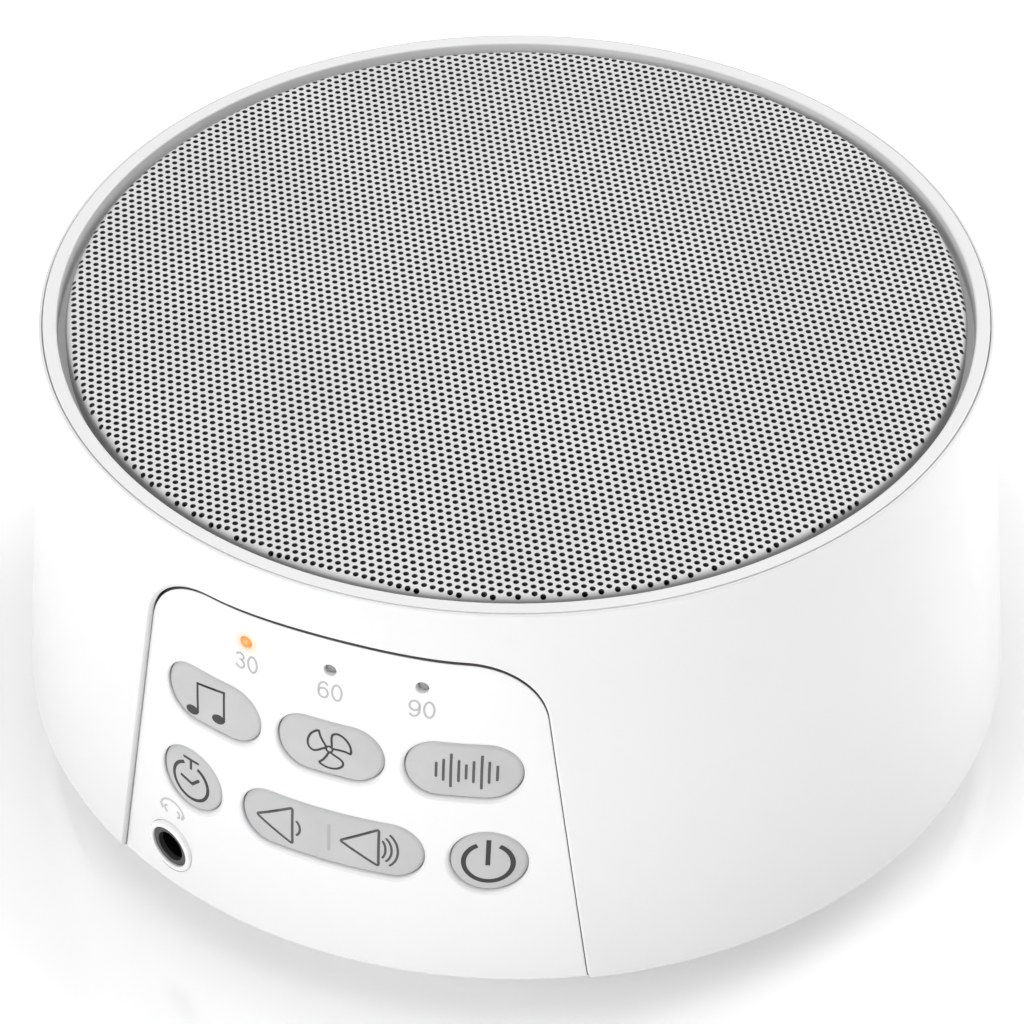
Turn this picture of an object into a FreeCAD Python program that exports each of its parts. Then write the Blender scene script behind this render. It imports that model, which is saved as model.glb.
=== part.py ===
import FreeCAD, Part
import Sketcher
import math
import os

# Bedside white noise machine: a low round body that widens a little towards the
# table, a perforated metal grille in its top, a slightly sunk key panel in its
# front, a small wide-range speaker inside. Millimetres, +Z up, front towards -Y,
# origin at the centre of the face that it rests on.

V = FreeCAD.Vector
doc = FreeCAD.newDocument("noise_machine")

# ---------------------------------------------------------------- dimensions
sheet = doc.addObject("Spreadsheet::Sheet", "dims")
VALUES = [
    ("total_height", 55.4), ("body_bottom", 6.6), ("body_height", 48.8),
    ("top_radius", 51.6), ("bottom_radius", 56.0), ("wall", 2.0),
    ("bottom_round", 1.5), ("lip_round", 0.28),
    ("lip_top", 55.3), ("bezel_outer", 51.2), ("bezel_inner", 49.7), ("bezel_floor", 53.6),
    ("deck_top", 52.6), ("deck_thick", 2.0), ("deck_hole", 26.0),
    ("grille_radius", 48.8), ("grille_top", 55.15), ("grille_sheet", 0.5), ("grille_roll", 1.0),
    ("scrim_radius", 47.8), ("scrim_bottom", 53.9), ("scrim_thick", 0.4),
    ("panel_inset", 0.63), ("panel_back", 3.6), ("panel_step", 2.15), ("panel_gap", 0.22),
    ("window_top", 49.1), ("window_half_top", 21.1), ("window_half_low", 27.6), ("window_low", 3.4),
    ("window_corner", 8.0), ("panel_flange", 1.3), ("panel_low", 6.75),
    ("key_inset", 0.85), ("key_gap", 0.2), ("key_flange_front", 3.95), ("key_flange_back", 4.75),
    ("rocker_flange_front", 4.3), ("rocker_flange_back", 5.1), ("key_flange_wide", 0.7),
    ("upper_row", 35.05), ("lower_row", 23.5), ("key_wide", 12.3), ("key_tall", 7.35),
    ("key_pitch", 14.1), ("round_key", 8.1), ("round_pitch", 16.85), ("rocker_wide", 21.0),
    ("column_wide", 6.6), ("column_tall", 3.4), ("rocker_column", 17.8),
    ("board_front", 42.0), ("board_thick", 1.2), ("board_half", 23.0), ("board_low", 15.8), ("board_top", 48.2),
    ("mat_thick", 0.85), ("mat_clear", 0.5), ("pill_radius", 1.5), ("pill_thick", 0.4), ("pill_front", 42.55),
    ("light_row", 45.1), ("light_pitch", 9.7), ("light_radius", 0.62), ("light_hole", 0.68), ("light_inset", 1.2),
    ("jack_angle", 21.5), ("jack_height", 12.2), ("jack_face", 55.0), ("jack_nose", 2.45), ("jack_bore", 1.8),
    ("jack_depth", 14.0), ("collar_outer", 3.15), ("collar_face", 55.35), ("collar_hole", 2.5), ("collar_seat", 3.2),
    ("post_ring", 25.8), ("post_radius", 3.5), ("post_low", 5.0), ("post_pilot", 1.4),
    ("base_radius", 53.4), ("base_flange_low", 7.0), ("base_flange_top", 9.0), ("drum_radius", 46.5),
    ("drum_low", 1.0), ("floor_top", 3.0), ("drum_inner", 44.5), ("pad_inner", 41.0), ("pad_outer", 45.0), ("pad_top", 1.6),
    ("gasket_inner", 26.2), ("frame_radius", 29.5), ("frame_top", 49.8),
    ("inlet_height", 14.0), ("inlet_face", 54.9), ("inlet_nose", 4.0), ("inlet_bore", 2.85), ("inlet_depth", 9.0),
]
for i, (alias, value) in enumerate(VALUES):
    sheet.set("A%d" % (i + 1), alias)
    sheet.set("B%d" % (i + 1), str(value))
    sheet.setAlias("B%d" % (i + 1), alias)
doc.recompute()
D = {alias: float(sheet.get(alias)) for alias, _ in VALUES}


def value(expr):
    """Number that an expression over the sheet gives."""
    return float(sheet.evalExpression(expr.replace("dims.", "")))


def bind(obj, **props):
    for name, expr in props.items():
        obj.setExpression(name, str(expr))
    return obj


def plane(body, role):
    return [f for f in body.Origin.OriginFeatures if f.Role == role][0]


def new_body(label):
    b = doc.addObject("PartDesign::Body", label)
    b.Label = label
    return b


def sketch_on(body, role, name):
    sk = body.newObject("Sketcher::SketchObject", name)
    sk.AttachmentSupport = [(plane(body, role), "")]
    sk.MapMode = "FlatFace"
    doc.recompute()
    return sk


def polygon(sk, points):
    """Closed polygon whose every corner is held by two dimensions over the sheet."""
    xy = [(value(a), value(b)) for a, b in points]
    n = len(xy)
    ids = []
    for i in range(n):
        p, q = xy[i], xy[(i + 1) % n]
        ids.append(sk.addGeometry(Part.LineSegment(V(p[0], p[1], 0), V(q[0], q[1], 0)), False))
    for i in range(n):
        sk.addConstraint(Sketcher.Constraint("Coincident", ids[i], 2, ids[(i + 1) % n], 1))
    for i, (a, b) in enumerate(points):
        for kind, expr, val in (("DistanceX", a, xy[i][0]), ("DistanceY", b, xy[i][1])):
            if abs(val) < 1e-9:
                sk.addConstraint(Sketcher.Constraint("PointOnObject", ids[i], 1, -2 if kind == "DistanceX" else -1))
                continue
            c = sk.addConstraint(Sketcher.Constraint(kind, -1, 1, ids[i], 1, val))
            sk.setExpression("Constraints[%d]" % c, expr)
    return ids


def revolved(label, points, rounds=()):
    """Body turned about Z from (radius, height) corners; rounds = (radius, height, fillet) of its edges."""
    b = new_body(label)
    sk = sketch_on(b, "XZ_Plane", label + "_profile")
    polygon(sk, points)
    doc.recompute()
    rev = b.newObject("PartDesign::Revolution", label + "_turn")
    rev.Profile = sk
    rev.ReferenceAxis = (sk, ["V_Axis"])
    rev.Angle = 360
    doc.recompute()
    last = rev
    for k, (r, z, size) in enumerate(rounds):
        rr, zz = value(r), value(z)
        names = []
        for j, e in enumerate(last.Shape.Edges):
            c = getattr(e, "Curve", None)
            if isinstance(c, Part.Circle) and abs(c.Radius - rr) < 0.02 and abs(c.Center.z - zz) < 0.02:
                names.append("Edge%d" % (j + 1))
        if not names:
            raise RuntimeError("no edge to round on " + label)
        f = b.newObject("PartDesign::Fillet", "%s_round_%d" % (label, k))
        f.Base = (last, names)
        f.setExpression("Radius", size)
        doc.recompute()
        last = f
    b.Tip = last
    return b


def at(obj, base, direction=None, spin=0.0):
    rot = FreeCAD.Rotation(V(0, 0, 1), spin)
    if direction is not None:
        rot = rot.multiply(FreeCAD.Rotation(V(0, 0, 1), direction))
    obj.Placement = FreeCAD.Placement(rot.multVec(base) if spin else base, rot)
    return obj


def cyl(name, radius, height, base=V(0, 0, 0), direction=None, spin=0.0):
    c = doc.addObject("Part::Cylinder", name)
    bind(c, Radius=radius, Height=height)
    return at(c, base, direction, spin)


def box(name, x, y, z, corner):
    c = doc.addObject("Part::Box", name)
    bind(c, Length=x, Width=y, Height=z)
    c.Placement = FreeCAD.Placement(V(*corner), FreeCAD.Rotation())
    return c


def cone(name, inset):
    """Solid cone of the body's outer face, drawn in by an inset, longer than the body both ways."""
    c = doc.addObject("Part::Cone", name)
    step = "(dims.bottom_radius - dims.top_radius) / dims.body_height"
    bind(c,
         Radius1="dims.top_radius + %s * (dims.total_height + 2) - (%s)" % (step, inset),
         Radius2="dims.top_radius + %s * (dims.total_height - 60) - (%s)" % (step, inset),
         Height="62")
    c.Placement = FreeCAD.Placement(V(0, 0, -2), FreeCAD.Rotation())
    return c


def cut(name, a, b):
    o = doc.addObject("Part::Cut", name)
    o.Base, o.Tool = a, b
    return o


def common(name, a, b):
    o = doc.addObject("Part::Common", name)
    o.Base, o.Tool = a, b
    return o


def fuse(name, *objs):
    o = doc.addObject("Part::MultiFuse", name)
    o.Shapes = list(objs)
    o.Refine = True
    return o


FRONT = V(0, -1, 0)


def slot_prism(name, x, z, wide, tall, y_from="-64", y_len="34"):
    """Prism along Y with round ends, at (x, z): wide along X, tall along Z."""
    parts = []
    wx, tz = value(wide), value(tall)
    cx, cz = value(x), value(z)
    for side, tag in ((-1, "l"), (1, "r")):
        if wx - tz < 1e-6 and side == 1:
            continue
        c = doc.addObject("Part::Cylinder", name + "_" + tag)
        bind(c, Radius="(%s) / 2" % tall, Height=y_len)
        c.Placement = FreeCAD.Placement(V(0, 0, 0), FreeCAD.Rotation(V(0, 0, 1), V(0, 1, 0)))
        bind(c, **{"Placement.Base.x": "(%s) + (%d) * ((%s) - (%s)) / 2" % (x, side, wide, tall),
                   "Placement.Base.y": y_from, "Placement.Base.z": z})
        parts.append(c)
    if wx - tz < 1e-6:
        return parts[0]
    b = doc.addObject("Part::Box", name + "_m")
    bind(b, Length="(%s) - (%s)" % (wide, tall), Width=y_len, Height=tall)
    bind(b, **{"Placement.Base.x": "(%s) - ((%s) - (%s)) / 2" % (x, wide, tall),
               "Placement.Base.y": y_from, "Placement.Base.z": "(%s) - (%s) / 2" % (z, tall)})
    parts.append(b)
    return fuse(name, *parts)


def window_prism(name, grow, low, y_from=-64.0, depth=40.0):
    """Prism along Y of the panel's outline: level top, straight sides that spread downwards, round upper corners."""
    b = new_body(name)
    sk = sketch_on(b, "XZ_Plane", name + "_outline")
    g = "(%s)" % grow
    slope = "(dims.window_half_low - dims.window_half_top) / (dims.window_top - dims.window_low)"
    half_top = "(dims.window_half_top + %s * 1.01)" % g
    half_low = "(%s + %s * (dims.window_top + %s - (%s)))" % (half_top, slope, g, low)
    top = "(dims.window_top + %s)" % g
    polygon(sk, [("-1 * %s" % half_low, low), (half_low, low), (half_top, top), ("-1 * %s" % half_top, top)])
    doc.recompute()
    pad = b.newObject("PartDesign::Pad", name + "_pad")
    pad.Profile = sk
    pad.Length = depth
    doc.recompute()
    if pad.Shape.BoundBox.YMax > 1.0:
        pad.Reversed = not pad.Reversed
        doc.recompute()
    names = []
    zt, xt = value(top), value(half_top)
    for j, e in enumerate(pad.Shape.Edges):
        m = e.CenterOfMass
        if abs(m.z - zt) < 0.01 and abs(abs(m.x) - xt) < 0.01:
            names.append("Edge%d" % (j + 1))
    f = b.newObject("PartDesign::Fillet", name + "_corners")
    f.Base = (pad, names)
    f.setExpression("Radius", "dims.window_corner + %s" % g)
    b.Tip = f
    doc.recompute()
    lowest = f.Shape.BoundBox.YMin
    b.Placement = FreeCAD.Placement(V(0, y_from - lowest, 0), FreeCAD.Rotation())
    return b


NODES = []


def node(obj, label):
    obj.Label = label
    NODES.append((label, obj))
    return obj


R_AT = "(dims.top_radius + (dims.bottom_radius - dims.top_radius) / dims.body_height * (dims.total_height - (%s)))"

# ---------------------------------------------------------------- outer shell
walls = revolved("shell_walls", [
    (R_AT % "dims.body_bottom", "dims.body_bottom"),
    (R_AT % "dims.lip_top", "dims.lip_top"),
    ("dims.bezel_outer + 0.1", "dims.lip_top"),
    ("dims.bezel_outer + 0.1", "dims.bezel_floor"),
    ("dims.bezel_inner + 0.05", "dims.bezel_floor"),
    ("dims.bezel_inner + 0.05", "dims.deck_top"),
    ("dims.deck_hole", "dims.deck_top"),
    ("dims.deck_hole", "dims.deck_top - dims.deck_thick"),
    (R_AT % "dims.deck_top" + " - dims.wall", "dims.deck_top - dims.deck_thick"),
    (R_AT % "dims.body_bottom" + " - dims.wall", "dims.body_bottom"),
], rounds=[(R_AT % "dims.body_bottom", "dims.body_bottom", "dims.bottom_round")])
POSTS = [(sx, sy) for sx in (-1, 1) for sy in (-1, 1)]
posts = []
for k, (sx, sy) in enumerate(POSTS):
    p = cyl("post_%d" % k, "dims.post_radius", "dims.deck_top - dims.deck_thick - dims.post_low + 0.5")
    bind(p, **{"Placement.Base.x": "%d * dims.post_ring" % sx, "Placement.Base.y": "%d * dims.post_ring" % sy,
               "Placement.Base.z": "dims.post_low"})
    posts.append(p)
solid_shell = fuse("shell_solid", walls, *posts)
tools = []
for k, (sx, sy) in enumerate(POSTS):
    p = cyl("pilot_%d" % k, "dims.post_pilot", "13")
    bind(p, **{"Placement.Base.x": "%d * dims.post_ring" % sx, "Placement.Base.y": "%d * dims.post_ring" % sy,
               "Placement.Base.z": "dims.post_low - 1"})
    tools.append(p)
window = window_prism("panel_window", "0", "dims.window_low")
tools.append(window)
inlet_hole = cyl("inlet_hole", "dims.inlet_nose + 0.15", "12", V(0, 48, D["inlet_height"]), V(0, 1, 0))
bind(inlet_hole, **{"Placement.Base.z": "dims.inlet_height"})
tools.append(inlet_hole)
for k, (sx, sy) in enumerate(((-1, -1), (-1, 1), (1, -1), (1, 1))):
    # four blind holes under the deck for the speaker's screws
    a = math.radians(45 + 90 * k)
    h = cyl("speaker_pilot_%d" % k, "0.95", "2.2", V(28.1 * math.cos(a + math.pi / 4), 28.1 * math.sin(a + math.pi / 4), D["deck_top"] - D["deck_thick"] - 0.8))
    tools.append(h)
shell = node(cut("shell_cut", solid_shell, fuse("shell_tools", *tools)), "body_shell")

# ---------------------------------------------------------------- top: bezel, grille, scrim
node(revolved("bezel", [
    ("dims.bezel_inner", "dims.bezel_floor"), ("dims.bezel_outer", "dims.bezel_floor"),
    ("dims.bezel_outer", "dims.total_height"), ("dims.bezel_inner", "dims.total_height")],
    rounds=[("dims.bezel_outer", "dims.total_height", "dims.lip_round / 2"),
            ("dims.bezel_inner", "dims.total_height", "dims.lip_round")]), "top_bezel")
node(revolved("grille", [
    ("0", "dims.grille_top"), ("dims.grille_radius", "dims.grille_top"), ("dims.grille_radius", "dims.deck_top"),
    ("dims.grille_radius - dims.grille_sheet", "dims.deck_top"),
    ("dims.grille_radius - dims.grille_sheet", "dims.grille_top - dims.grille_sheet"),
    ("0", "dims.grille_top - dims.grille_sheet")],
    rounds=[("dims.grille_radius", "dims.grille_top", "dims.grille_roll"),
            ("dims.grille_radius - dims.grille_sheet", "dims.grille_top - dims.grille_sheet", "dims.grille_roll - dims.grille_sheet")]),
    "speaker_grille")
scrim = new_body("scrim")
sk = sketch_on(scrim, "XY_Plane", "scrim_circle")
g = sk.addGeometry(Part.Circle(V(0, 0, 0), V(0, 0, 1), D["scrim_radius"]), False)
sk.addConstraint(Sketcher.Constraint("Coincident", g, 3, -1, 1))
c = sk.addConstraint(Sketcher.Constraint("Radius", g, D["scrim_radius"]))
sk.setExpression("Constraints[%d]" % c, "dims.scrim_radius")
sk.setExpression("AttachmentOffset.Base.z", "dims.scrim_bottom")
pad = scrim.newObject("PartDesign::Pad", "scrim_pad")
pad.Profile = sk
pad.setExpression("Length", "dims.scrim_thick")
node(scrim, "grille_scrim")

# ---------------------------------------------------------------- key panel
cone_face = cone("cone_face", "dims.panel_inset")
cone_back = cone("cone_back", "dims.panel_back")
cone_step = cone("cone_step", "dims.panel_step")
cone_back2 = cone("cone_back2", "dims.panel_back")
front_plug = common("panel_plug", cut("panel_slab", cone_face, cone_back), window_prism("panel_outline", "-1 * dims.panel_gap", "dims.panel_low"))
flange = common("panel_rim", cut("rim_slab", cone_step, cone_back2), window_prism("panel_rim_outline", "dims.panel_flange", "9.3"))
bosses = []
for k, (bx, bz) in enumerate(((-17.0, 43.6), (17.0, 43.6), (-11.6, 17.3), (11.6, 17.3))):
    start = -47.4 if bz > 30 else -51.6
    b = cyl("board_boss_%d" % k, "1.6", "%g - dims.board_front" % -start, V(bx, start, bz), V(0, 1, 0))
    bosses.append(b)
panel_solid = fuse("panel_solid", front_plug, flange, *bosses)
openings = []
KEYS = [
    # name, x, z, wide, tall
    ("music_button", "-1 * dims.key_pitch", "dims.upper_row", "dims.key_wide", "dims.key_tall"),
    ("fan_button", "0", "dims.upper_row", "dims.key_wide", "dims.key_tall"),
    ("noise_button", "dims.key_pitch", "dims.upper_row", "dims.key_wide", "dims.key_tall"),
    ("timer_button", "-1 * dims.round_pitch", "dims.lower_row", "dims.round_key", "dims.round_key"),
    ("volume_rocker", "0", "dims.lower_row", "dims.rocker_wide", "dims.key_tall"),
    ("power_button", "dims.round_pitch", "dims.lower_row", "dims.round_key", "dims.round_key"),
]
for name, x, z, w, t in KEYS:
    openings.append(slot_prism(name + "_opening", x, z, "(%s) + 2 * dims.key_gap" % w, "(%s) + 2 * dims.key_gap" % t, y_len="30"))
for k in (-1, 0, 1):
    h = doc.addObject("Part::Cylinder", "light_hole_%d" % (k + 1))
    bind(h, Radius="dims.light_hole", Height="30")
    h.Placement = FreeCAD.Placement(V(0, 0, 0), FreeCAD.Rotation(V(0, 0, 1), V(0, 1, 0)))
    bind(h, **{"Placement.Base.x": "%d * dims.light_pitch" % k, "Placement.Base.y": "-64", "Placement.Base.z": "dims.light_row"})
    openings.append(h)
JA = math.radians(D["jack_angle"])
JD = V(-math.sin(JA), -math.cos(JA), 0)


def jack_cyl(name, radius, start, length):
    """Cylinder on the headphone socket's axis from a distance to the body's axis outwards."""
    c = doc.addObject("Part::Cylinder", name)
    bind(c, Radius=radius, Height="(%s)" % length)
    c.Placement = FreeCAD.Placement(V(JD.x * value(start), JD.y * value(start), D["jack_height"]), FreeCAD.Rotation(V(0, 0, 1), JD))
    return c


openings.append(jack_cyl("collar_opening", "dims.collar_seat", "45", "16"))
boss_cut = []
for k, (bx, bz) in enumerate(((-17.0, 43.6), (17.0, 43.6), (-11.6, 17.3), (11.6, 17.3))):
    openings.append(cyl("boss_hole_%d" % k, "0.8", "4.2", V(bx, -46.0, bz), V(0, 1, 0)))
openings.append(box("board_side", "60", "12", "60", (-30, -42.0, 0)))
panel = node(cut("panel_cut", panel_solid, fuse("panel_openings", *openings)), "control_panel")

# ---------------------------------------------------------------- keys
for name, x, z, w, t in KEYS:
    rocker = name == "volume_rocker"
    f0 = "dims.rocker_flange_front" if rocker else "dims.key_flange_front"
    f1 = "dims.rocker_flange_back" if rocker else "dims.key_flange_back"
    cap = cut(name + "_cap", common(name + "_cap_face", cone(name + "_face", "dims.key_inset"), slot_prism(name + "_cap_prism", x, z, w, t)),
              cone(name + "_cap_back", f0))
    rim = common(name + "_rim", cut(name + "_rim_slab", cone(name + "_rim_front", f0), cone(name + "_rim_back", f1)),
                 slot_prism(name + "_rim_prism", x, z, "(%s) + 2 * dims.key_flange_wide" % w, "(%s) + 2 * dims.key_flange_wide" % t))
    cw = "dims.rocker_column" if rocker else "dims.column_wide"
    ct = "dims.column_tall"
    if "round" in x or "round" in w:
        cw = "dims.column_tall + 1"
    column = slot_prism(name + "_column", x, z, cw, ct, y_from="-1 * (dims.board_front + 12)", y_len="12 - dims.mat_thick - 0.1")
    column_in = common(name + "_column_in", column, cone(name + "_column_face", f0))
    node(fuse(name + "_solid", cap, rim, column_in), name)
    pills = []
    for k, px in enumerate((-6.6, 6.6) if rocker else (0.0,)):
        p = doc.addObject("Part::Cylinder", "%s_pill_%d" % (name, k))
        bind(p, Radius="dims.pill_radius", Height="dims.pill_thick")
        p.Placement = FreeCAD.Placement(V(0, 0, 0), FreeCAD.Rotation(V(0, 0, 1), V(0, 1, 0)))
        bind(p, **{"Placement.Base.x": "(%s) + (%s)" % (x, px), "Placement.Base.y": "-1 * (dims.board_front + dims.mat_thick + 0.1)",
                   "Placement.Base.z": z})
        pills.append(p)
    contact = name.split("_")[0] + "_contact"
    node(fuse(name + "_pills", *pills) if len(pills) > 1 else pills[0], contact)

# silicone mat behind the keys, with a hole around each key's column
mat = box("mat_sheet", "2 * dims.board_half - 1", "dims.mat_thick", "dims.board_top - dims.board_low - 4.4",
          (-D["board_half"] + 0.5, -D["board_front"] - D["mat_thick"], D["board_low"] + 2.0))
mat_holes = []
for name, x, z, w, t in KEYS:
    cw = "dims.rocker_column" if name == "volume_rocker" else ("dims.column_tall + 1" if "round" in w else "dims.column_wide")
    mat_holes.append(slot_prism(name + "_mat_hole", x, z, "(%s) + 2 * dims.mat_clear" % cw, "dims.column_tall + 2 * dims.mat_clear", y_from="-50", y_len="12"))
for k in (-1, 0, 1):
    mat_holes.append(cyl("mat_light_%d" % (k + 1), "1.6", "12", V(k * D["light_pitch"], -50, D["light_row"]), V(0, 1, 0)))
for k, (bx, bz) in enumerate(((-17.0, 43.6), (17.0, 43.6), (-11.6, 17.3), (11.6, 17.3))):
    mat_holes.append(cyl("mat_boss_%d" % k, "1.9", "12", V(bx, -50, bz), V(0, 1, 0)))
node(cut("mat_cut", mat, fuse("mat_holes", *mat_holes)), "keypad_mat")

# light pipes and their lamps
for k, minutes in ((-1, 30), (0, 60), (1, 90)):
    p = doc.addObject("Part::Cylinder", "pipe_rod_%d" % minutes)
    bind(p, Radius="dims.light_radius", Height="16")
    p.Placement = FreeCAD.Placement(V(0, 0, 0), FreeCAD.Rotation(V(0, 0, 1), V(0, 1, 0)))
    bind(p, **{"Placement.Base.x": "%d * dims.light_pitch" % k, "Placement.Base.y": "-1 * (dims.board_front + 17)", "Placement.Base.z": "dims.light_row"})
    node(common("pipe_%d" % minutes, p, cone("pipe_face_%d" % minutes, "dims.light_inset")), "light_pipe_%d" % minutes)
lamps = [box("lamp_%d" % (k + 1), "1.6", "0.6", "0.9", (k * D["light_pitch"] - 0.8, -D["board_front"] - 0.6, D["light_row"] - 0.45)) for k in (-1, 0, 1)]
node(fuse("lamps", *lamps), "indicator_lamps")

# control board with its screws
board = box("board_sheet", "2 * dims.board_half", "dims.board_thick", "dims.board_top - dims.board_low",
            (-D["board_half"], -D["board_front"], D["board_low"]))
board_holes = [cyl("board_hole_%d" % k, "1.1", "6", V(bx, -45, bz), V(0, 1, 0)) for k, (bx, bz) in enumerate(((-17.0, 43.6), (17.0, 43.6), (-11.6, 17.3), (11.6, 17.3)))]
node(cut("board_cut", board, fuse("board_holes", *board_holes)), "control_board")
board_screws = []
for k, (bx, bz) in enumerate(((-17.0, 43.6), (17.0, 43.6), (-11.6, 17.3), (11.6, 17.3))):
    head = cyl("board_screw_head_%d" % k, "1.7", "0.9", V(bx, -D["board_front"] + D["board_thick"], bz), V(0, 1, 0))
    shank = cyl("board_screw_shank_%d" % k, "0.75", "5.2", V(bx, -D["board_front"] - 3.9, bz), V(0, 1, 0))
    recess = box("board_screw_slot_%d" % k, "2.2", "0.5", "0.4", (bx - 1.1, -D["board_front"] + D["board_thick"] + 0.5, bz - 0.2))
    board_screws.append(cut("board_screw_%d" % k, fuse("board_screw_solid_%d" % k, head, shank), recess))
node(fuse("board_screw_set", *board_screws), "board_screws")

# ---------------------------------------------------------------- headphone socket
nose = jack_cyl("jack_nose_solid", "dims.jack_nose", "50", "dims.jack_face - 50")
jbox = box("jack_box", "6.2", "12.5", "5.6", (-3.1, -51.0, D["jack_height"] - 2.8))
jbox.Placement = FreeCAD.Placement(V(0, 0, 0), FreeCAD.Rotation(V(0, 0, 1), -D["jack_angle"])).multiply(jbox.Placement)
jbore = jack_cyl("jack_bore_tool", "dims.jack_bore", "dims.jack_face - dims.jack_depth", "dims.jack_depth + 3")
node(cut("jack_cut", fuse("jack_solid", nose, jbox), jbore), "headphone_jack")
collar = cut("collar_ring", jack_cyl("collar_outer_solid", "dims.collar_outer", "51.9", "dims.collar_face - 51.9"),
             jack_cyl("collar_inner_solid", "dims.collar_hole", "45", "14"))
collar_round = doc.addObject("Part::Fillet", "collar_round")
doc.recompute()
collar_round.Base = collar
edges = []
for j, e in enumerate(collar.Shape.Edges):
    c = getattr(e, "Curve", None)
    if isinstance(c, Part.Circle) and abs(c.Center.dot(JD) - D["collar_face"]) < 0.02:
        edges.append((j + 1, 0.3, 0.3) if c.Radius > 3 else (j + 1, 0.2, 0.2))
collar_round.Edges = edges
node(collar_round, "jack_collar")

# ---------------------------------------------------------------- speaker
node(revolved("gasket", [("dims.gasket_inner", "dims.frame_top"), ("dims.frame_radius", "dims.frame_top"),
                         ("dims.frame_radius", "dims.deck_top - dims.deck_thick"), ("dims.gasket_inner", "dims.deck_top - dims.deck_thick")]), "gasket_solid")
gasket = NODES.pop()[1]
screw_holes = [cyl("frame_hole_%d" % k, "1.1", "8", V(28.1 * math.cos(math.radians(90 * k + 90)), 28.1 * math.sin(math.radians(90 * k + 90)), 46)) for k in range(4)]
node(cut("gasket_cut", gasket, fuse("gasket_holes", *screw_holes)), "speaker_gasket")
basket = revolved("basket_turned", [
    ("25", "dims.frame_top"), ("dims.frame_radius", "dims.frame_top"), ("dims.frame_radius", "dims.frame_top - 0.9"),
    ("26.6", "dims.frame_top - 0.9"), ("15", "32.6"), ("7.4", "32.6"), ("7.4", "33.5"), ("14.3", "33.5"), ("25", "dims.frame_top - 1.2")])
bw1 = box("basket_window_a", "80", "13", "9.5", (-40, -6.5, 37.9))
bw2 = box("basket_window_b", "13", "80", "9.5", (-6.5, -40, 37.9))
holes2 = [cyl("frame_hole_b%d" % k, "1.1", "8", V(28.1 * math.cos(math.radians(90 * k + 90)), 28.1 * math.sin(math.radians(90 * k + 90)), 46)) for k in range(4)]
node(cut("basket_cut", basket, fuse("basket_windows", bw1, bw2, *holes2)), "speaker_basket")
node(revolved("cone_turned", [("6.85", "38.6"), ("21", "47.8"), ("22.4", "47.8"), ("22.4", "48.3"), ("20.7", "48.3"), ("6.85", "39.3")]), "speaker_cone")
node(revolved("surround_turned", [
    ("21.2", "48.65"), ("22.3", "48.65"), ("22.5", "49.7"), ("23.2", "50.5"), ("24.3", "50.5"), ("24.9", "50.1"), ("26", "50.1"),
    ("26", "dims.frame_top"), ("24.75", "dims.frame_top"), ("24.1", "50.15"), ("23.4", "50.15"), ("22.85", "49.55"), ("22.65", "48.3"), ("21.2", "48.3")]), "cone_surround")
node(revolved("cap_turned", [("0", "42.4"), ("3.2", "42"), ("5.8", "41"), ("7.9", "40.05"), ("7.55", "39.9"), ("5.6", "40.6"), ("3.1", "41.55"), ("0", "41.95")]), "dust_cap")
node(revolved("coil_turned", [("6.25", "29.6"), ("6.85", "29.6"), ("6.85", "39.3"), ("6.25", "39.3")]), "voice_coil")
spider_top = [(6.85, 37.0)] + [(7.6 + 0.9 * k, 37.0 + (0.7 if k % 2 else 0.0)) for k in range(0, 10)] + [(16.6, 37.0)]
node(revolved("spider_turned", [("%g" % r, "%g" % z) for r, z in spider_top] + [("%g" % r, "%g" % (z - 0.3)) for r, z in reversed(spider_top)]), "speaker_spider")
node(revolved("top_plate_turned", [("7.2", "30.6"), ("17", "30.6"), ("17", "32.6"), ("7.2", "32.6")]), "magnet_top_plate")
node(revolved("magnet_turned", [("9", "24.6"), ("18.5", "24.6"), ("18.5", "30.6"), ("9", "30.6")], rounds=[("18.5", "24.6", "0.4"), ("18.5", "30.6", "0.4")]), "magnet_ring")
node(revolved("yoke_turned", [("0", "22.6"), ("17", "22.6"), ("17", "24.6"), ("5.9", "24.6"), ("5.9", "32.9"), ("0", "32.9")], rounds=[("17", "22.6", "0.4")]), "magnet_yoke")
sp = []
for k in range(4):
    a = math.radians(90 * k + 90)
    cx, cy = 28.1 * math.cos(a), 28.1 * math.sin(a)
    head = cyl("speaker_screw_head_%d" % k, "1.3", "1", V(cx, cy, D["frame_top"] - 1.9))
    shank = cyl("speaker_screw_shank_%d" % k, "0.9", "3.6", V(cx, cy, D["frame_top"] - 1.5))
    sp.append(fuse("speaker_screw_%d" % k, head, shank))
node(fuse("speaker_screw_set", *sp), "speaker_screws")

# ---------------------------------------------------------------- base
base = revolved("base_turned", [
    ("0", "dims.drum_low"), ("dims.pad_inner", "dims.drum_low"), ("dims.pad_inner", "dims.pad_top"), ("dims.pad_outer", "dims.pad_top"),
    ("dims.pad_outer", "dims.drum_low"), ("dims.drum_radius", "dims.drum_low"), ("dims.drum_radius", "dims.base_flange_low"),
    ("dims.base_radius", "dims.base_flange_low"), ("dims.base_radius", "dims.base_flange_top"), ("dims.drum_inner", "dims.base_flange_top"),
    ("dims.drum_inner", "dims.floor_top"), ("0", "dims.floor_top")],
    rounds=[("dims.drum_radius", "dims.drum_low", "0.35")])
base_parts = [base]
base_tools = []
for k, (sx, sy) in enumerate(POSTS):
    x, y = sx * D["post_ring"], sy * D["post_ring"]
    base_parts.append(cyl("base_boss_%d" % k, "4.6", "2.5", V(x, y, 2.5)))
    base_tools.append(cyl("base_sink_%d" % k, "3.2", "2.4", V(x, y, 0.8)))
    base_tools.append(cyl("base_through_%d" % k, "1.7", "6", V(x, y, 0.8)))
ped = box("jack_pedestal", "6.2", "7", "6.4", (-3.1, -47.0, 3.0))
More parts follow.
